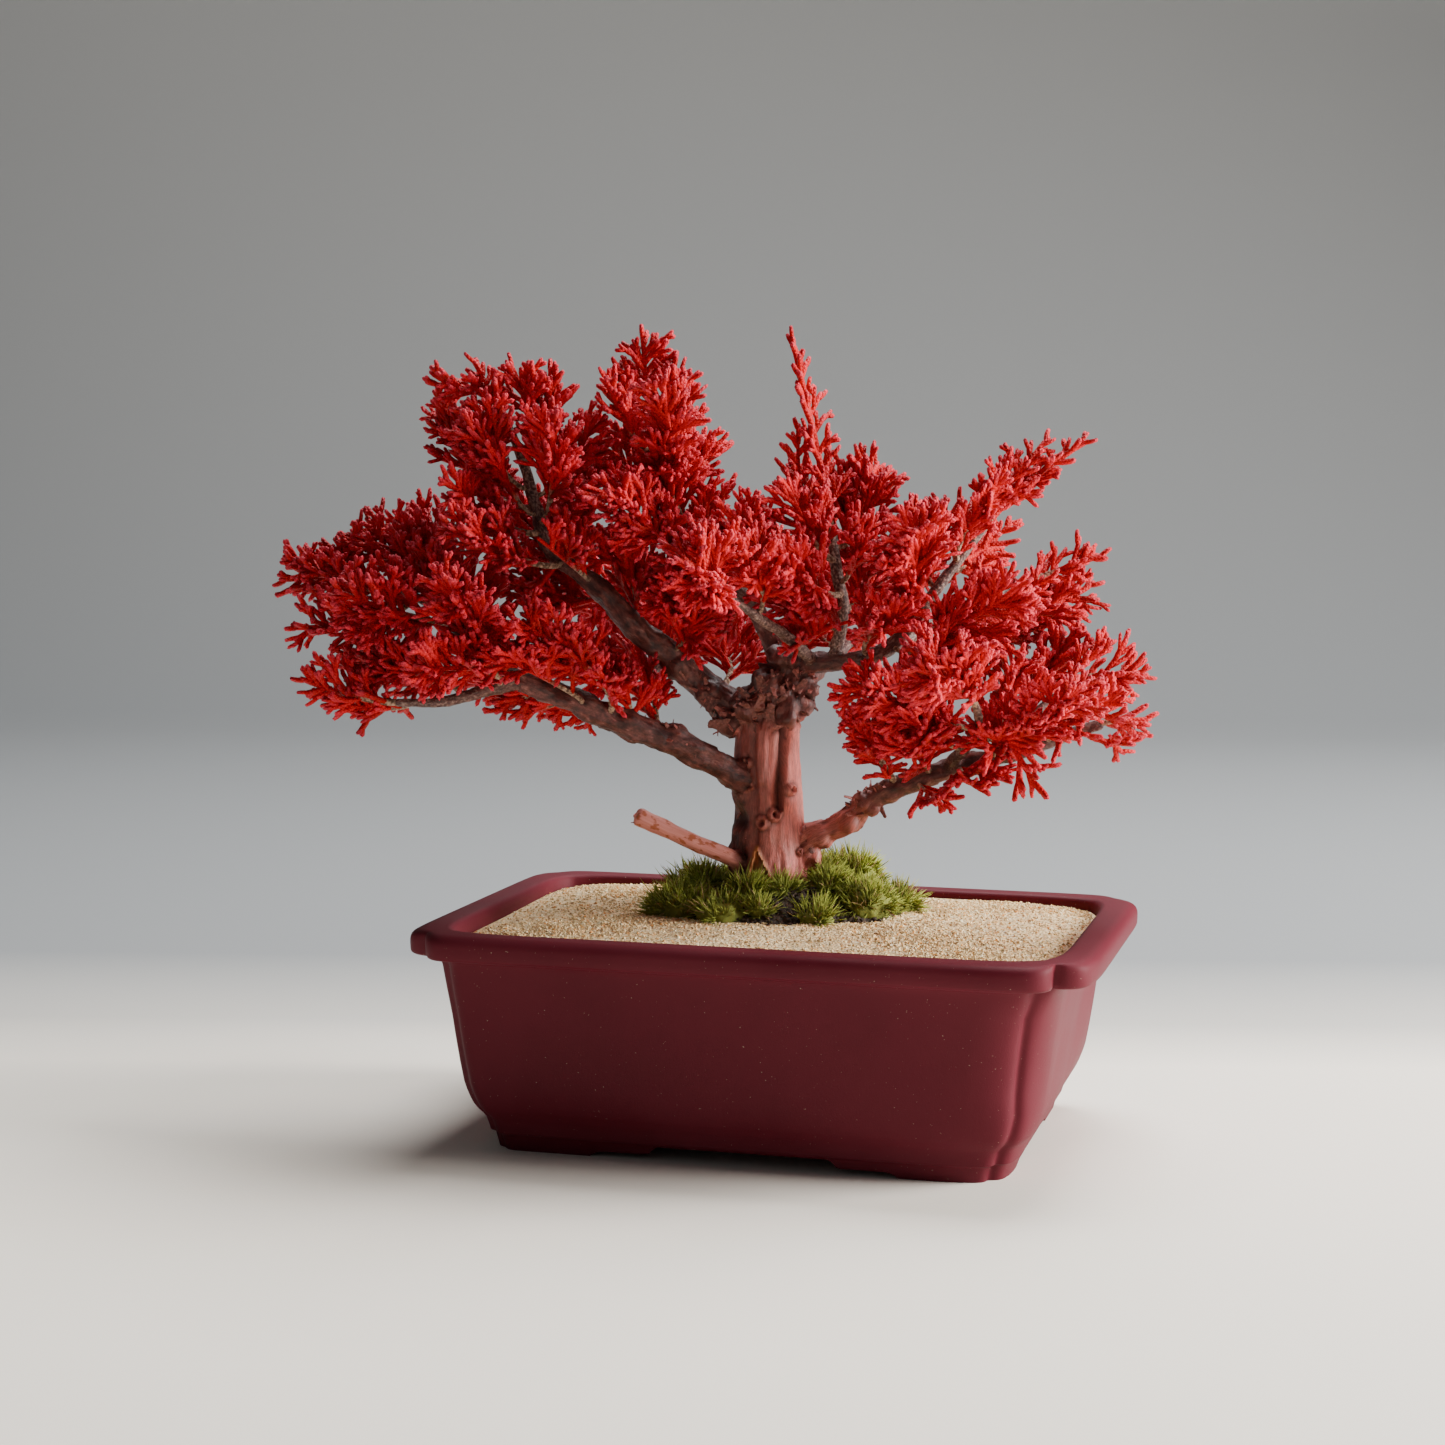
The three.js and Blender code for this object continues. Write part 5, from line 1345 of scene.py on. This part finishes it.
        # The cavity mask darkens grooves, knot holes and hollows as painted shade
        cavity_shade, pale = np.zeros(len(points)), stub * 1.0
        for line, depth, width, lip, side in GROOVES:
            gap, beside = line_gap(flat, line, side)
            axis = 1 if side[0] else 0
            marks = [point[axis] for point in line]
            ends = between(flat[:, axis], min(marks), max(marks))
            cut = np.exp(-(gap / np.where(beside > 0, width * 0.7, width * 1.7)) ** 2) * front
            edge = np.clip(beside / 0.8, 0, 1) * np.exp(-(np.maximum(beside - 1.2, 0) / 3.2) ** 2)
            lift += ends * front * lip * edge * (gap < 9) - depth * cut
            cavity_shade = np.maximum(cavity_shade, cut * min(1, depth * 0.55))
        for x, z, wide in KNOTS:
            gap = np.hypot(flat[:, 0] - x, (flat[:, 1] - z) * 0.9)
            ring = np.exp(-((gap - wide * 0.85) / 0.5) ** 2)
            hole = np.exp(-(gap / (wide * 0.45)) ** 2)
            lift += front * (1.3 * ring - 1.9 * hole + 0.4 * np.exp(-(gap / (2 * wide)) ** 2))
            groove = np.exp(-((gap - wide * 1.55) / 0.45) ** 2)
            lift -= front * 0.35 * groove
            cavity_shade = np.maximum(cavity_shade, front * np.maximum(hole, groove * 0.7))
            # The raised knot rings take some of the peeled colour as a painted highlight
            pale = np.maximum(pale, front * ring * 0.45)
        for x, z, wide, tall in HOLLOWS:
            hole = np.exp(-(((flat[:, 0] - x) / wide) ** 2 + ((flat[:, 1] - z) / tall) ** 2) ** 1.5) * front
            lift -= 1.6 * min(wide, 1.4) * hole
            cavity_shade = np.maximum(cavity_shade, hole)
        split, rim = self.split_mask(flat)
        lift += front * (rim * 0.9 - split * 1.7)

        set_points(mesh, (points + normals * lift[:, None]) * MM)
        young = np.array([YOUNG_LIMBS.get(name, 0.0) for name in names])[limb]
        young = young * np.clip((2.7 - radius) / 1.1, 0, 1)
        near_base = (limb == names.index("b3")) * np.clip((34 - points[:, 0]) / 14, 0, 1)
        # Old-bark colour: on the limbs and the trunk's top, a little low on the trunk's left, and as painted shade on
        # its side turned away from the right
        bark = np.clip(1 - trunk - near_base * 0.75 + top * 0.35, 0, 1)
        low = (points[:, 2] < 26) * np.clip((-5.5 - points[:, 0]) / 3, 0, 1) * (limb == 0)
        bark = np.clip(bark + low * 0.4 + painted_shade_side * 0.62, 0, 1)
        # Dents in the bark's relief are darkened as painted shade
        dents = np.clip(-(rough + coarse) * 1.7 - 0.2, 0, 1) * (rest + top).clip(0, 1) * 0.75
        set_values(mesh, "grain", grain)
        set_values(mesh, "limb", bark * (1 - stub))
        set_values(mesh, "young", young * (1 - stub))
        foot = front * (points[:, 2] < 10)
        set_values(mesh, "cavity_shade", np.maximum(np.maximum(cavity_shade, dents), split * foot * 0.35))
        set_values(mesh, "split", np.maximum(rim, split * 0.75) * foot)
        set_values(mesh, "peeled_and_highlight", pale)

    def split_mask(self, flat):
        """Inside the three-cornered split at the foot, and the raised lips round it."""
        corners = np.array(SPLIT, float)
        depth = np.full(len(flat), 1e9)
        for i in range(3):
            a, b = corners[i], corners[(i + 1) % 3]
            inward = np.array([(b - a)[1], -(b - a)[0]])
            inward /= np.linalg.norm(inward)
            if (corners[(i + 2) % 3] - a) @ inward < 0:
                inward = -inward
            depth = np.minimum(depth, (flat - a) @ inward)
        return np.clip((depth - 0.1) / 0.6, 0, 1), np.exp(-((depth + 0.15) / 0.55) ** 2)

    def flakes(self, wood):
        """Curled flakes of bark: one is modelled, then copied on to the old wood."""
        points, faces = self.modelled_flake()
        mesh = wood.data
        rows, normals = rows_of(mesh) / MM, rows_of(mesh, "normal")
        samples = limb_samples()
        rng = np.random.default_rng(19)
        parts = []
        for middle, reach, count in FLAKE_CROWDS:
            ready = np.flatnonzero((np.linalg.norm(rows - middle, axis=1) < reach) & (rows[:, 2] > 3))
            thick = samples["radius"][nearest_samples(rows[ready], samples)]
            ready = ready[thick > 2.3]
            if not len(ready):
                continue
            picked = rng.choice(ready, count)
            near = nearest_samples(rows[picked], samples)
            for index, sample in zip(picked, near):
                grain = unit(samples["onward"][sample] * rng.choice([-1, 1]) + rng.normal(size=3) * 0.5)
                size = rng.uniform(1.2, 3.2) * (0.55 if reach > 20 else 1)
                parts.append(self.placed_flake(points, faces, rows[index], normals[index], grain, size, rng))
        for place, out, grain, size in FLAPS:
            flap = [np.array(place, float), unit(np.array(out, float)), unit(np.array(grain, float)), size]
            parts.append(self.placed_flake(points, faces, *flap, rng, 0.5, 1))
        rows, tris, _, values = joined(parts)
        return mesh_piece("flakes", rows * MM, tris, None, values)

    def placed_flake(self, points, faces, place, out, grain, size, rng, most=0.8, old=0.3):
        """A copy of the flake that grows along the grain, tilted up by no more than most, and at least so old."""
        side = unit(np.cross(grain, out))
        out = np.cross(side, grain)
        tilt = rng.uniform(0.15, most)
        grain, out = unit(grain + out * tilt), unit(out - grain * tilt)
        local = points * (size * rng.uniform(0.45, 0.9), size, size * 0.5)
        rows = place - out * 0.15 - grain * 0.4 + local[:, :1] * side + local[:, 1:2] * grain + local[:, 2:] * out
        count = len(rows)
        values = {
            "grain": local * 1.5 + place, "limb": np.full(count, rng.uniform(old, 1)), "young": np.zeros(count),
            "cavity_shade": np.zeros(count), "split": np.zeros(count), "peeled_and_highlight": np.full(count, 0.25 * rng.uniform()),
        }
        return rows, faces, np.zeros((len(faces) * 3, 2)), values

    def modelled_flake(self):
        """A thin ragged plate, fixed at its lower edge and curling away at the top."""
        deselect()
        bpy.ops.mesh.primitive_grid_add(x_subdivisions=4, y_subdivisions=5, size=1, location=(0, 0.5, 0))
        flake = bpy.context.object
        bpy.ops.object.transform_apply(location=True, rotation=False, scale=False)
        for vertex in flake.data.vertices:
            x, y, _ = vertex.co
            taper = 1 - 0.45 * y + 0.3 * noise.noise(Vector((x * 5, y * 4, 0)))
            vertex.co = (x * taper, y + 0.16 * noise.noise(Vector((x * 9, 2, 3))), 0.4 * y * y - 0.5 * x * x)
        thick = flake.modifiers.new("thick", "SOLIDIFY")
        thick.thickness = 0.12
        apply_modifiers(flake)
        return taken(flake)


# Foliage


def modelled_cord(sides, steps):
    """A blunt cord of scale leaves, one unit long and one thick, extruded ring by ring up Z."""
    deselect()
    bpy.ops.mesh.primitive_circle_add(vertices=sides, radius=steps[0][1], fill_type="NGON")
    bpy.ops.object.mode_set(mode="EDIT")
    bpy.ops.mesh.select_mode(type="FACE")
    bpy.ops.mesh.select_all(action="SELECT")
    for (low, before), (high, after) in zip(steps[:-1], steps[1:]):
        bpy.ops.mesh.extrude_region_move(TRANSFORM_OT_translate={"value": (0, 0, high - low)})
        if after > 0:
            bpy.ops.transform.resize(value=(after / before, after / before, 1), center_override=(0, 0, high))
        else:
            bpy.ops.mesh.merge(type="CENTER")
    face_outwards()
    points, faces = taken(bpy.context.object)
    around = (np.arctan2(points[:, 1], points[:, 0]) / (2 * math.pi)) % 1
    corner = around[faces]
    wraps = (corner.max(axis=1) - corner.min(axis=1)) > 0.5
    corner[wraps] = np.where(corner[wraps] < 0.5, corner[wraps] + 1, corner[wraps])
    return points, faces, corner


class Cords:
    """Cords gathered for one spray, all stamped from the same modelled cord."""

    def __init__(self, shape):
        self.shape = shape
        self.rows = []

    def add(self, start, onward, side, length, radius, bend, tone, tip=(0.1, 1.0)):
        self.rows.append((start, onward, side, length, radius, bend, tone, tip))

    def stamped(self):
        points, faces, around = self.shape
        start, onward, side, bend = [np.array([row[k] for row in self.rows]) for k in (0, 1, 2, 5)]
        length, radius, tone = [np.array([row[k] for row in self.rows]) for k in (3, 4, 6)]
        tips = np.array([row[7] for row in self.rows])
        count, corners = len(start), len(points)
        across = unit(side - (side * onward).sum(1)[:, None] * onward)
        upward = np.cross(onward, across)
        z = points[:, 2]
        rows = start[:, None] + onward[:, None] * (z[None, :, None] * length[:, None, None])
        rows += bend[:, None] * ((z ** 2)[None, :, None] * length[:, None, None])
        ring = across[:, None] * points[None, :, :1] + upward[:, None] * points[None, :, 1:2]
        rows += ring * radius[:, None, None]
        along = z[faces][None] * length[:, None, None]
        uvs = np.stack([np.broadcast_to(around[None], along.shape), along], axis=-1).reshape(-1, 2)
        tip = tips[:, :1] * (1 - z)[None] + tips[:, 1:] * z[None]
        values = {"tip": tip.ravel(), "shade": np.repeat(tone, corners), "woody": np.zeros(count * corners)}
        return rows.reshape(-1, 3), copies(faces, count, corners), uvs, values


class Spray:
    """One spray: a stem, side shoots that leave it in a loose sheet and the cords that they fork into."""

    def __init__(self, shapes, rng, density):
        self.long, self.side, self.bud = [Cords(shape) for shape in shapes]
        self.rng = rng
        self.density = density
        self.shown = np.concatenate([
            Route(LIMBS[name][0]).at(np.linspace(*span, 30)) for name, span in SHOWN.items()
        ])

    def hides(self, place):
        """Whether a place lies just in front of a limb that stays in view."""
        gap = np.hypot(*(self.shown[:, [0, 2]] - place[[0, 2]]).T)
        return bool(((gap < 4.5) & (self.shown[:, 1] > place[1] - 1)).any())

    def grow(self, limb, place, tip, size, thickness=1):
        path, radii = LIMBS[limb]
        route = Route(path)
        centre, onward = route.at(place), route.onward(place)
        tip = np.array(tip, float)
        aim = tip - centre
        outward = onward if place == 1 else unit(aim - (aim @ onward) * onward)
        start = centre + outward * float(spaced(radii, place)) * (0.3 if place < 1 else -0.6)
        bend = start + outward * np.linalg.norm(tip - start) * 0.36
        stem = bezier(start, bend, tip)
        slim = size < SLIM_SPRAY
        thick = np.array([1.2, 1.15, 1.05, 0.95, 0.8] if slim else [1.15, 1.0, 0.9, 0.85, 0.75]) * thickness
        points, faces, uvs, share = tube(stem, thick, 6, 12)
        woody = np.clip(0.9 - share * 6 if slim else 1.5 - share * 2.1, 0, 1)
        self.side_shoots(stem, size, slim)
        return points, faces, uvs, {"tip": share * 0.4, "shade": np.full(len(points), 0.5), "woody": woody}

    def cords(self):
        return [cords.stamped() for cords in (self.long, self.side, self.bud) if cords.rows]

    def outside(self, place):
        """Away from the middle of the crown, and a little up."""
        away = (place - CROWN_MIDDLE) / np.square(CROWN_RADII)
        return unit(unit(away) + (0, 0, 0.25))

    def side_shoots(self, stem, size, slim):
        rng = self.rng
        step = 2.9 if slim else 1.5
        count = max(4, int(stem.length * 0.9 / step * self.density))
        side = rng.choice((-1, 1))
        for i in range(count):
            share = 0.09 + 0.87 * (i + rng.uniform(0.25, 0.75)) / count
            onward, place = stem.onward(share), stem.at(share)
            outside = self.outside(place)
            face = unit(outside - (outside @ onward) * onward)
            across = np.cross(onward, face) * side
            side = -side
            lift = rng.normal() * (0.5 if slim else 1.15) + 0.25
            out = unit(across + face * lift)
            aim = out * rng.uniform(0.7, 0.95) + onward * rng.uniform(0.65, 1.0)
            aim = unit(aim + (0, 0, rng.uniform(0.05, 0.35)))
            reach = float(spaced(LEADER_REACH, share)) if slim else size * float(spaced(REACH, share))
            self.fan(place, aim, unit(face * 1.2 + outside), reach * rng.uniform(0.74, 1.05))
        tip = stem.onward(1.0)
        self.fan(stem.at(0.94), tip, self.outside(stem.at(1)), size * 0.32 + 3.6)

    def fan(self, start, aim, outside, reach):
        """A cord with shorter cords that leave it on alternate sides, all in one curved sheet."""
        rng = self.rng
        if self.hides(start + aim * reach * 0.5):
            return
        tone = float(np.clip(rng.normal(0.55, 0.25), 0, 1))
        face = unit(outside + rng.normal(size=3) * 0.33)
        across = unit(np.cross(face, aim))
        face = np.cross(aim, across)
        curl = across * rng.uniform(-0.1, 0.1) - face * rng.uniform(-0.04, 0.12) + (0, 0, rng.uniform(0.0, 0.14))
        self.long.add(start, aim, across, reach, rng.uniform(0.8, 0.92), curl, tone)
        count = max(2, int(reach * 0.8 / 2.4))
        side = rng.choice((-1, 1))
        for i in range(count):
            share = 0.14 + 0.74 * (i + 0.5) / count
            side = -side
            place = start + (aim * share + curl * share ** 2) * reach
            spread = math.radians(rng.uniform(24, 37))
            along = unit(aim + curl * 2 * share)
            onto = unit(along * math.cos(spread) + across * side * math.sin(spread) + face * rng.normal() * 0.16)
            length = (reach * (0.72 - 0.42 * share) + 1.7) * rng.uniform(0.85, 1.15)
            inward = -across * side * 0.13 + along * 0.06 + (0, 0, 0.05)
            self.side.add(place, onto, face, length, rng.uniform(0.73, 0.85), inward, tone + rng.normal() * 0.1)
            self.buds(place, onto, inward, across * side, face, length, tone)

    def buds(self, place, onto, inward, across, face, length, tone):
        """Short cords on the outer side of the longer ones, with one on the inner side."""
        rng = self.rng
        for share, side in ((0.36, 1), (0.58, -0.8)) if length > 7 else ((0.5, 1),) if length > 5.4 else ():
            start = place + (onto * share + inward * share ** 2) * length
            aim = unit(onto + across * side * 0.62 + face * rng.normal() * 0.22)
            size = (length * (0.7 - 0.42 * share)) * rng.uniform(0.85, 1.2)
            self.bud.add(start, aim, face, size, rng.uniform(0.66, 0.78), onto * 0.12, tone + 0.06, (0.3, 1.0))


class BONSAI_OT_foliage(bpy.types.Operator):
    """Grows every spray of scale-leaf foliage, one piece for each"""

    bl_idname = "bonsai.foliage"
    bl_label = "Grow foliage"

    def execute(self, context):
        settings = context.scene.bonsai_foliage
        shapes = [
            modelled_cord(5, [(0, 0.85), (0.2, 1.0), (0.5, 1.04), (0.8, 0.96), (0.95, 0.74), (1, 0)]),
            modelled_cord(4, [(0, 0.85), (0.25, 1.08), (0.65, 1.04), (0.93, 0.82), (1, 0)]),
            modelled_cord(4, [(0, 0.9), (0.84, 1.0), (1, 0)]),
        ]
        material = foliage_material(settings)
        for number, row in enumerate(SPRAYS, 1):
            rng = np.random.default_rng(1000 + number)
            name = f"spray_{number:02d}"
            grown = Spray(shapes, rng, settings.density)
            parts = [grown.grow(*row)]
            parts += [grown.grow(*small[:4], 0.75) for small in INFILL if small[4] == number]
            parts += grown.cords()
            points, faces, uvs, values = joined(parts)
            spray = mesh_piece("foliage_" + name[-2:], points * MM, faces, uvs, values)
            dress(spray, material, [name], TREE_MATRIX)
        return {"FINISHED"}


# The stage


class BONSAI_OT_stage(bpy.types.Operator):
    """Sets the floor, the soft light and the camera"""

    bl_idname = "bonsai.stage"
    bl_label = "Set stage"

    def execute(self, context):
        settings = context.scene.bonsai_stage
        self.floor(settings)
        self.lights(settings)
        self.camera(context, settings)
        return {"FINISHED"}

    def floor(self, settings):
        """A pale sheet that sweeps up behind the pot."""
        turn = Matrix.Rotation(settings.turn, 4, "Z")
        profile = [(-2.2, 0.0), (0.08, 0.0), (0.15, 0.0), (0.28, 0.0), (1.2, 0.0)]
        profile += [(1.2 + 0.9 * math.sin(a), 0.9 - 0.9 * math.cos(a)) for a in np.linspace(0.1, math.pi / 2, 14)]
        profile += [(2.1, 3.0)]
        points = [turn @ POT_MATRIX @ Vector((x, y, z)) for y, z in profile for x in (-6, 6)]
        faces = [(2 * i, 2 * i + 1, 2 * i + 3, 2 * i + 2) for i in range(len(profile) - 1)]
        far = np.repeat([0, 0, 0.6, 1.0, 1.0] + list(np.linspace(1, 0.8, len(profile) - 5)), 2)
        floor = mesh_piece("floor", points, faces, None, {"far": far})
        smooth(floor)
        floor.data.materials.append(floor_material(settings))

    def lights(self, settings):
        table = [
            ("window", (1.36, -0.08, 0.55), 0.8, settings.key_power, (1.0, 0.97, 0.94)),
            ("fill", (-0.8, -1.3, 0.5), 1.2, settings.fill_power, (0.93, 0.96, 1.0)),
            ("back", (0.25, 0.6, 1.4), 0.8, settings.back_power, (1.0, 1.0, 1.0)),
        ]
        turn = Matrix.Rotation(settings.turn, 4, "Z")
        for name, place, size, power, colour in table:
            light = bpy.data.lights.new(name, "AREA")
            light.size = size
            light.energy = power
            light.color = colour
            lamp = bpy.data.objects.new(name, light)
            bpy.context.scene.collection.objects.link(lamp)
            lamp.location = POT_MATRIX @ turn @ Vector(place)
            aim = POT_MATRIX @ Vector((0, 0, 0.1)) - lamp.location
            lamp.rotation_euler = aim.to_track_quat("-Z", "Y").to_euler()
        world = bpy.data.worlds.new("soft room")
        world.use_nodes = True
        background = world.node_tree.nodes["Background"].inputs
        background["Color"].default_value = (0.78, 0.82, 0.86, 1)
        background["Strength"].default_value = settings.room_light
        bpy.context.scene.world = world

    def camera(self, context, settings):
        camera = bpy.data.cameras.new("view")
        camera.sensor_width = 36
        camera.lens = settings.lens
        camera.clip_start = 0.05
        viewer = bpy.data.objects.new("view", camera)
        context.scene.collection.objects.link(viewer)
        turn, pitch, roll = settings.turn, settings.pitch, settings.roll
        back = Vector((math.sin(turn) * math.cos(pitch), -math.cos(turn) * math.cos(pitch), math.sin(pitch)))
        right = Vector((math.cos(turn), math.sin(turn), 0))
        up = back.cross(right)
        across = math.cos(roll) * right + math.sin(roll) * up
        upward = -math.sin(roll) * right + math.cos(roll) * up
        matrix = Matrix((across, upward, back)).transposed().to_4x4()
        matrix.translation = POT_MATRIX @ Vector(settings.place)
        viewer.matrix_world = matrix
        context.scene.camera = viewer


# Settings


def colour_value(name, description, default):
    return FloatVectorProperty(
        name=name, description=description, default=default, subtype="COLOR", size=3, min=0, max=1
    )


def measure(name, description, default, **limits):
    return FloatProperty(name=name, description=description, default=default, **limits)


class BonsaiPot(bpy.types.PropertyGroup):
    colour: colour_value("Plastic", "Colour of the pot", (0.096, 0.0072, 0.0155))


class BonsaiFilling(bpy.types.PropertyGroup):
    sand_colour: colour_value("Sand", "Main colour of the sand", (1.0, 0.73, 0.38))
    soil_colour: colour_value("Soil", "Colour of the soil", (0.045, 0.03, 0.022))
    moss_colour: colour_value("Moss", "Colour of older moss", (0.33, 0.365, 0.07))
    moss_tip_colour: colour_value("Moss tips", "Colour of fresh moss", (0.33, 0.38, 0.04))
    grains: IntProperty(name="Grains", description="Loose grains tried on the sand", default=22000, min=0)
    blades: IntProperty(name="Shoots", description="Shoots tried on the moss", default=15000, min=0)
    crumbs: IntProperty(name="Crumbs", description="Loose crumbs on the soil", default=1400, min=0)


class BonsaiWood(bpy.types.PropertyGroup):
    bark_colour: colour_value("Bark", "Main colour of the trunk", (0.72, 0.175, 0.14))
    voxel: measure("Skin step", "Size of the bark's mesh", 0.00066, unit="LENGTH", min=0.0003)


class BonsaiFoliage(bpy.types.PropertyGroup):
    colour: colour_value("Foliage", "Colour of the lit cords", (0.73, 0.011, 0.02))
    # The deep colour also fills the seams between scale leaves as painted shade
    deep_colour: colour_value("Deep foliage", "Colour of older cords and seams", (0.36, 0.004, 0.004))
    # Fresh tips, with a painted pink sheen
    tip_colour: colour_value("Tips", "Colour of the fresh tips", (0.9, 0.085, 0.17))
    density: measure("Density", "Share of the full number of side shoots", 1.0, min=0.2, max=2)


class BonsaiStage(bpy.types.PropertyGroup):
    floor_colour: colour_value("Floor", "Colour of the floor", (0.95, 0.89, 0.79))
    wall_colour: colour_value("Wall", "Colour of the sheet behind", (0.265, 0.277, 0.286))
    key_power: measure("Window", "Power of the main light", 67.0, subtype="POWER")
    fill_power: measure("Fill", "Power of the fill light", 0.5, subtype="POWER")
    back_power: measure("Back", "Power of the back light", 32.0, subtype="POWER")
    room_light: measure("Room", "Strength of the light from all sides", 0.086, min=0)
    lens: measure("Lens", "Focal length of the camera", 68.96, subtype="DISTANCE_CAMERA")
    turn: measure("Turn", "Camera's turn round the pot", math.radians(14.71), subtype="ANGLE")
    pitch: measure("Pitch", "Camera's downward tilt", math.radians(5.46), subtype="ANGLE")
    roll: measure("Roll", "Camera's roll", math.radians(0.41), subtype="ANGLE")
    place: FloatVectorProperty(
        name="Place", description="Camera's place from the foot of the pot", default=(0.1906, -0.8032, 0.2017),
        subtype="TRANSLATION", unit="LENGTH", size=3,
    )


SETTINGS = {
    "bonsai_pot": BonsaiPot, "bonsai_filling": BonsaiFilling, "bonsai_wood": BonsaiWood,
    "bonsai_foliage": BonsaiFoliage, "bonsai_stage": BonsaiStage,
}
STEPS = [
    BONSAI_OT_pot, BONSAI_OT_soil, BONSAI_OT_sand, BONSAI_OT_moss, BONSAI_OT_wood, BONSAI_OT_foliage, BONSAI_OT_stage,
]


class BONSAI_PT_panel(bpy.types.Panel):
    """Lists the steps and their settings"""

    bl_label = "Juniper bonsai"
    bl_idname = "BONSAI_PT_panel"
    bl_space_type = "VIEW_3D"
    bl_region_type = "UI"
    bl_category = "Bonsai"

    def draw(self, context):
        for step in STEPS:
            self.layout.operator(step.bl_idname)
        for name, kind in SETTINGS.items():
            box = self.layout.box()
            for key in kind.__annotations__:
                box.prop(getattr(context.scene, name), key)


def register():
    for kind in [*SETTINGS.values(), *STEPS, BONSAI_PT_panel]:
        bpy.utils.register_class(kind)
    for name, kind in SETTINGS.items():
        setattr(bpy.types.Scene, name, PointerProperty(type=kind))


def unregister():
    for name in SETTINGS:
        delattr(bpy.types.Scene, name)
    for kind in reversed([*SETTINGS.values(), *STEPS, BONSAI_PT_panel]):
        bpy.utils.unregister_class(kind)


def main():
    register()
    for step in ("pot", "soil", "sand", "moss", "wood", "foliage", "stage"):
        getattr(bpy.ops.bonsai, step)()


if __name__ == "__main__":
    main()
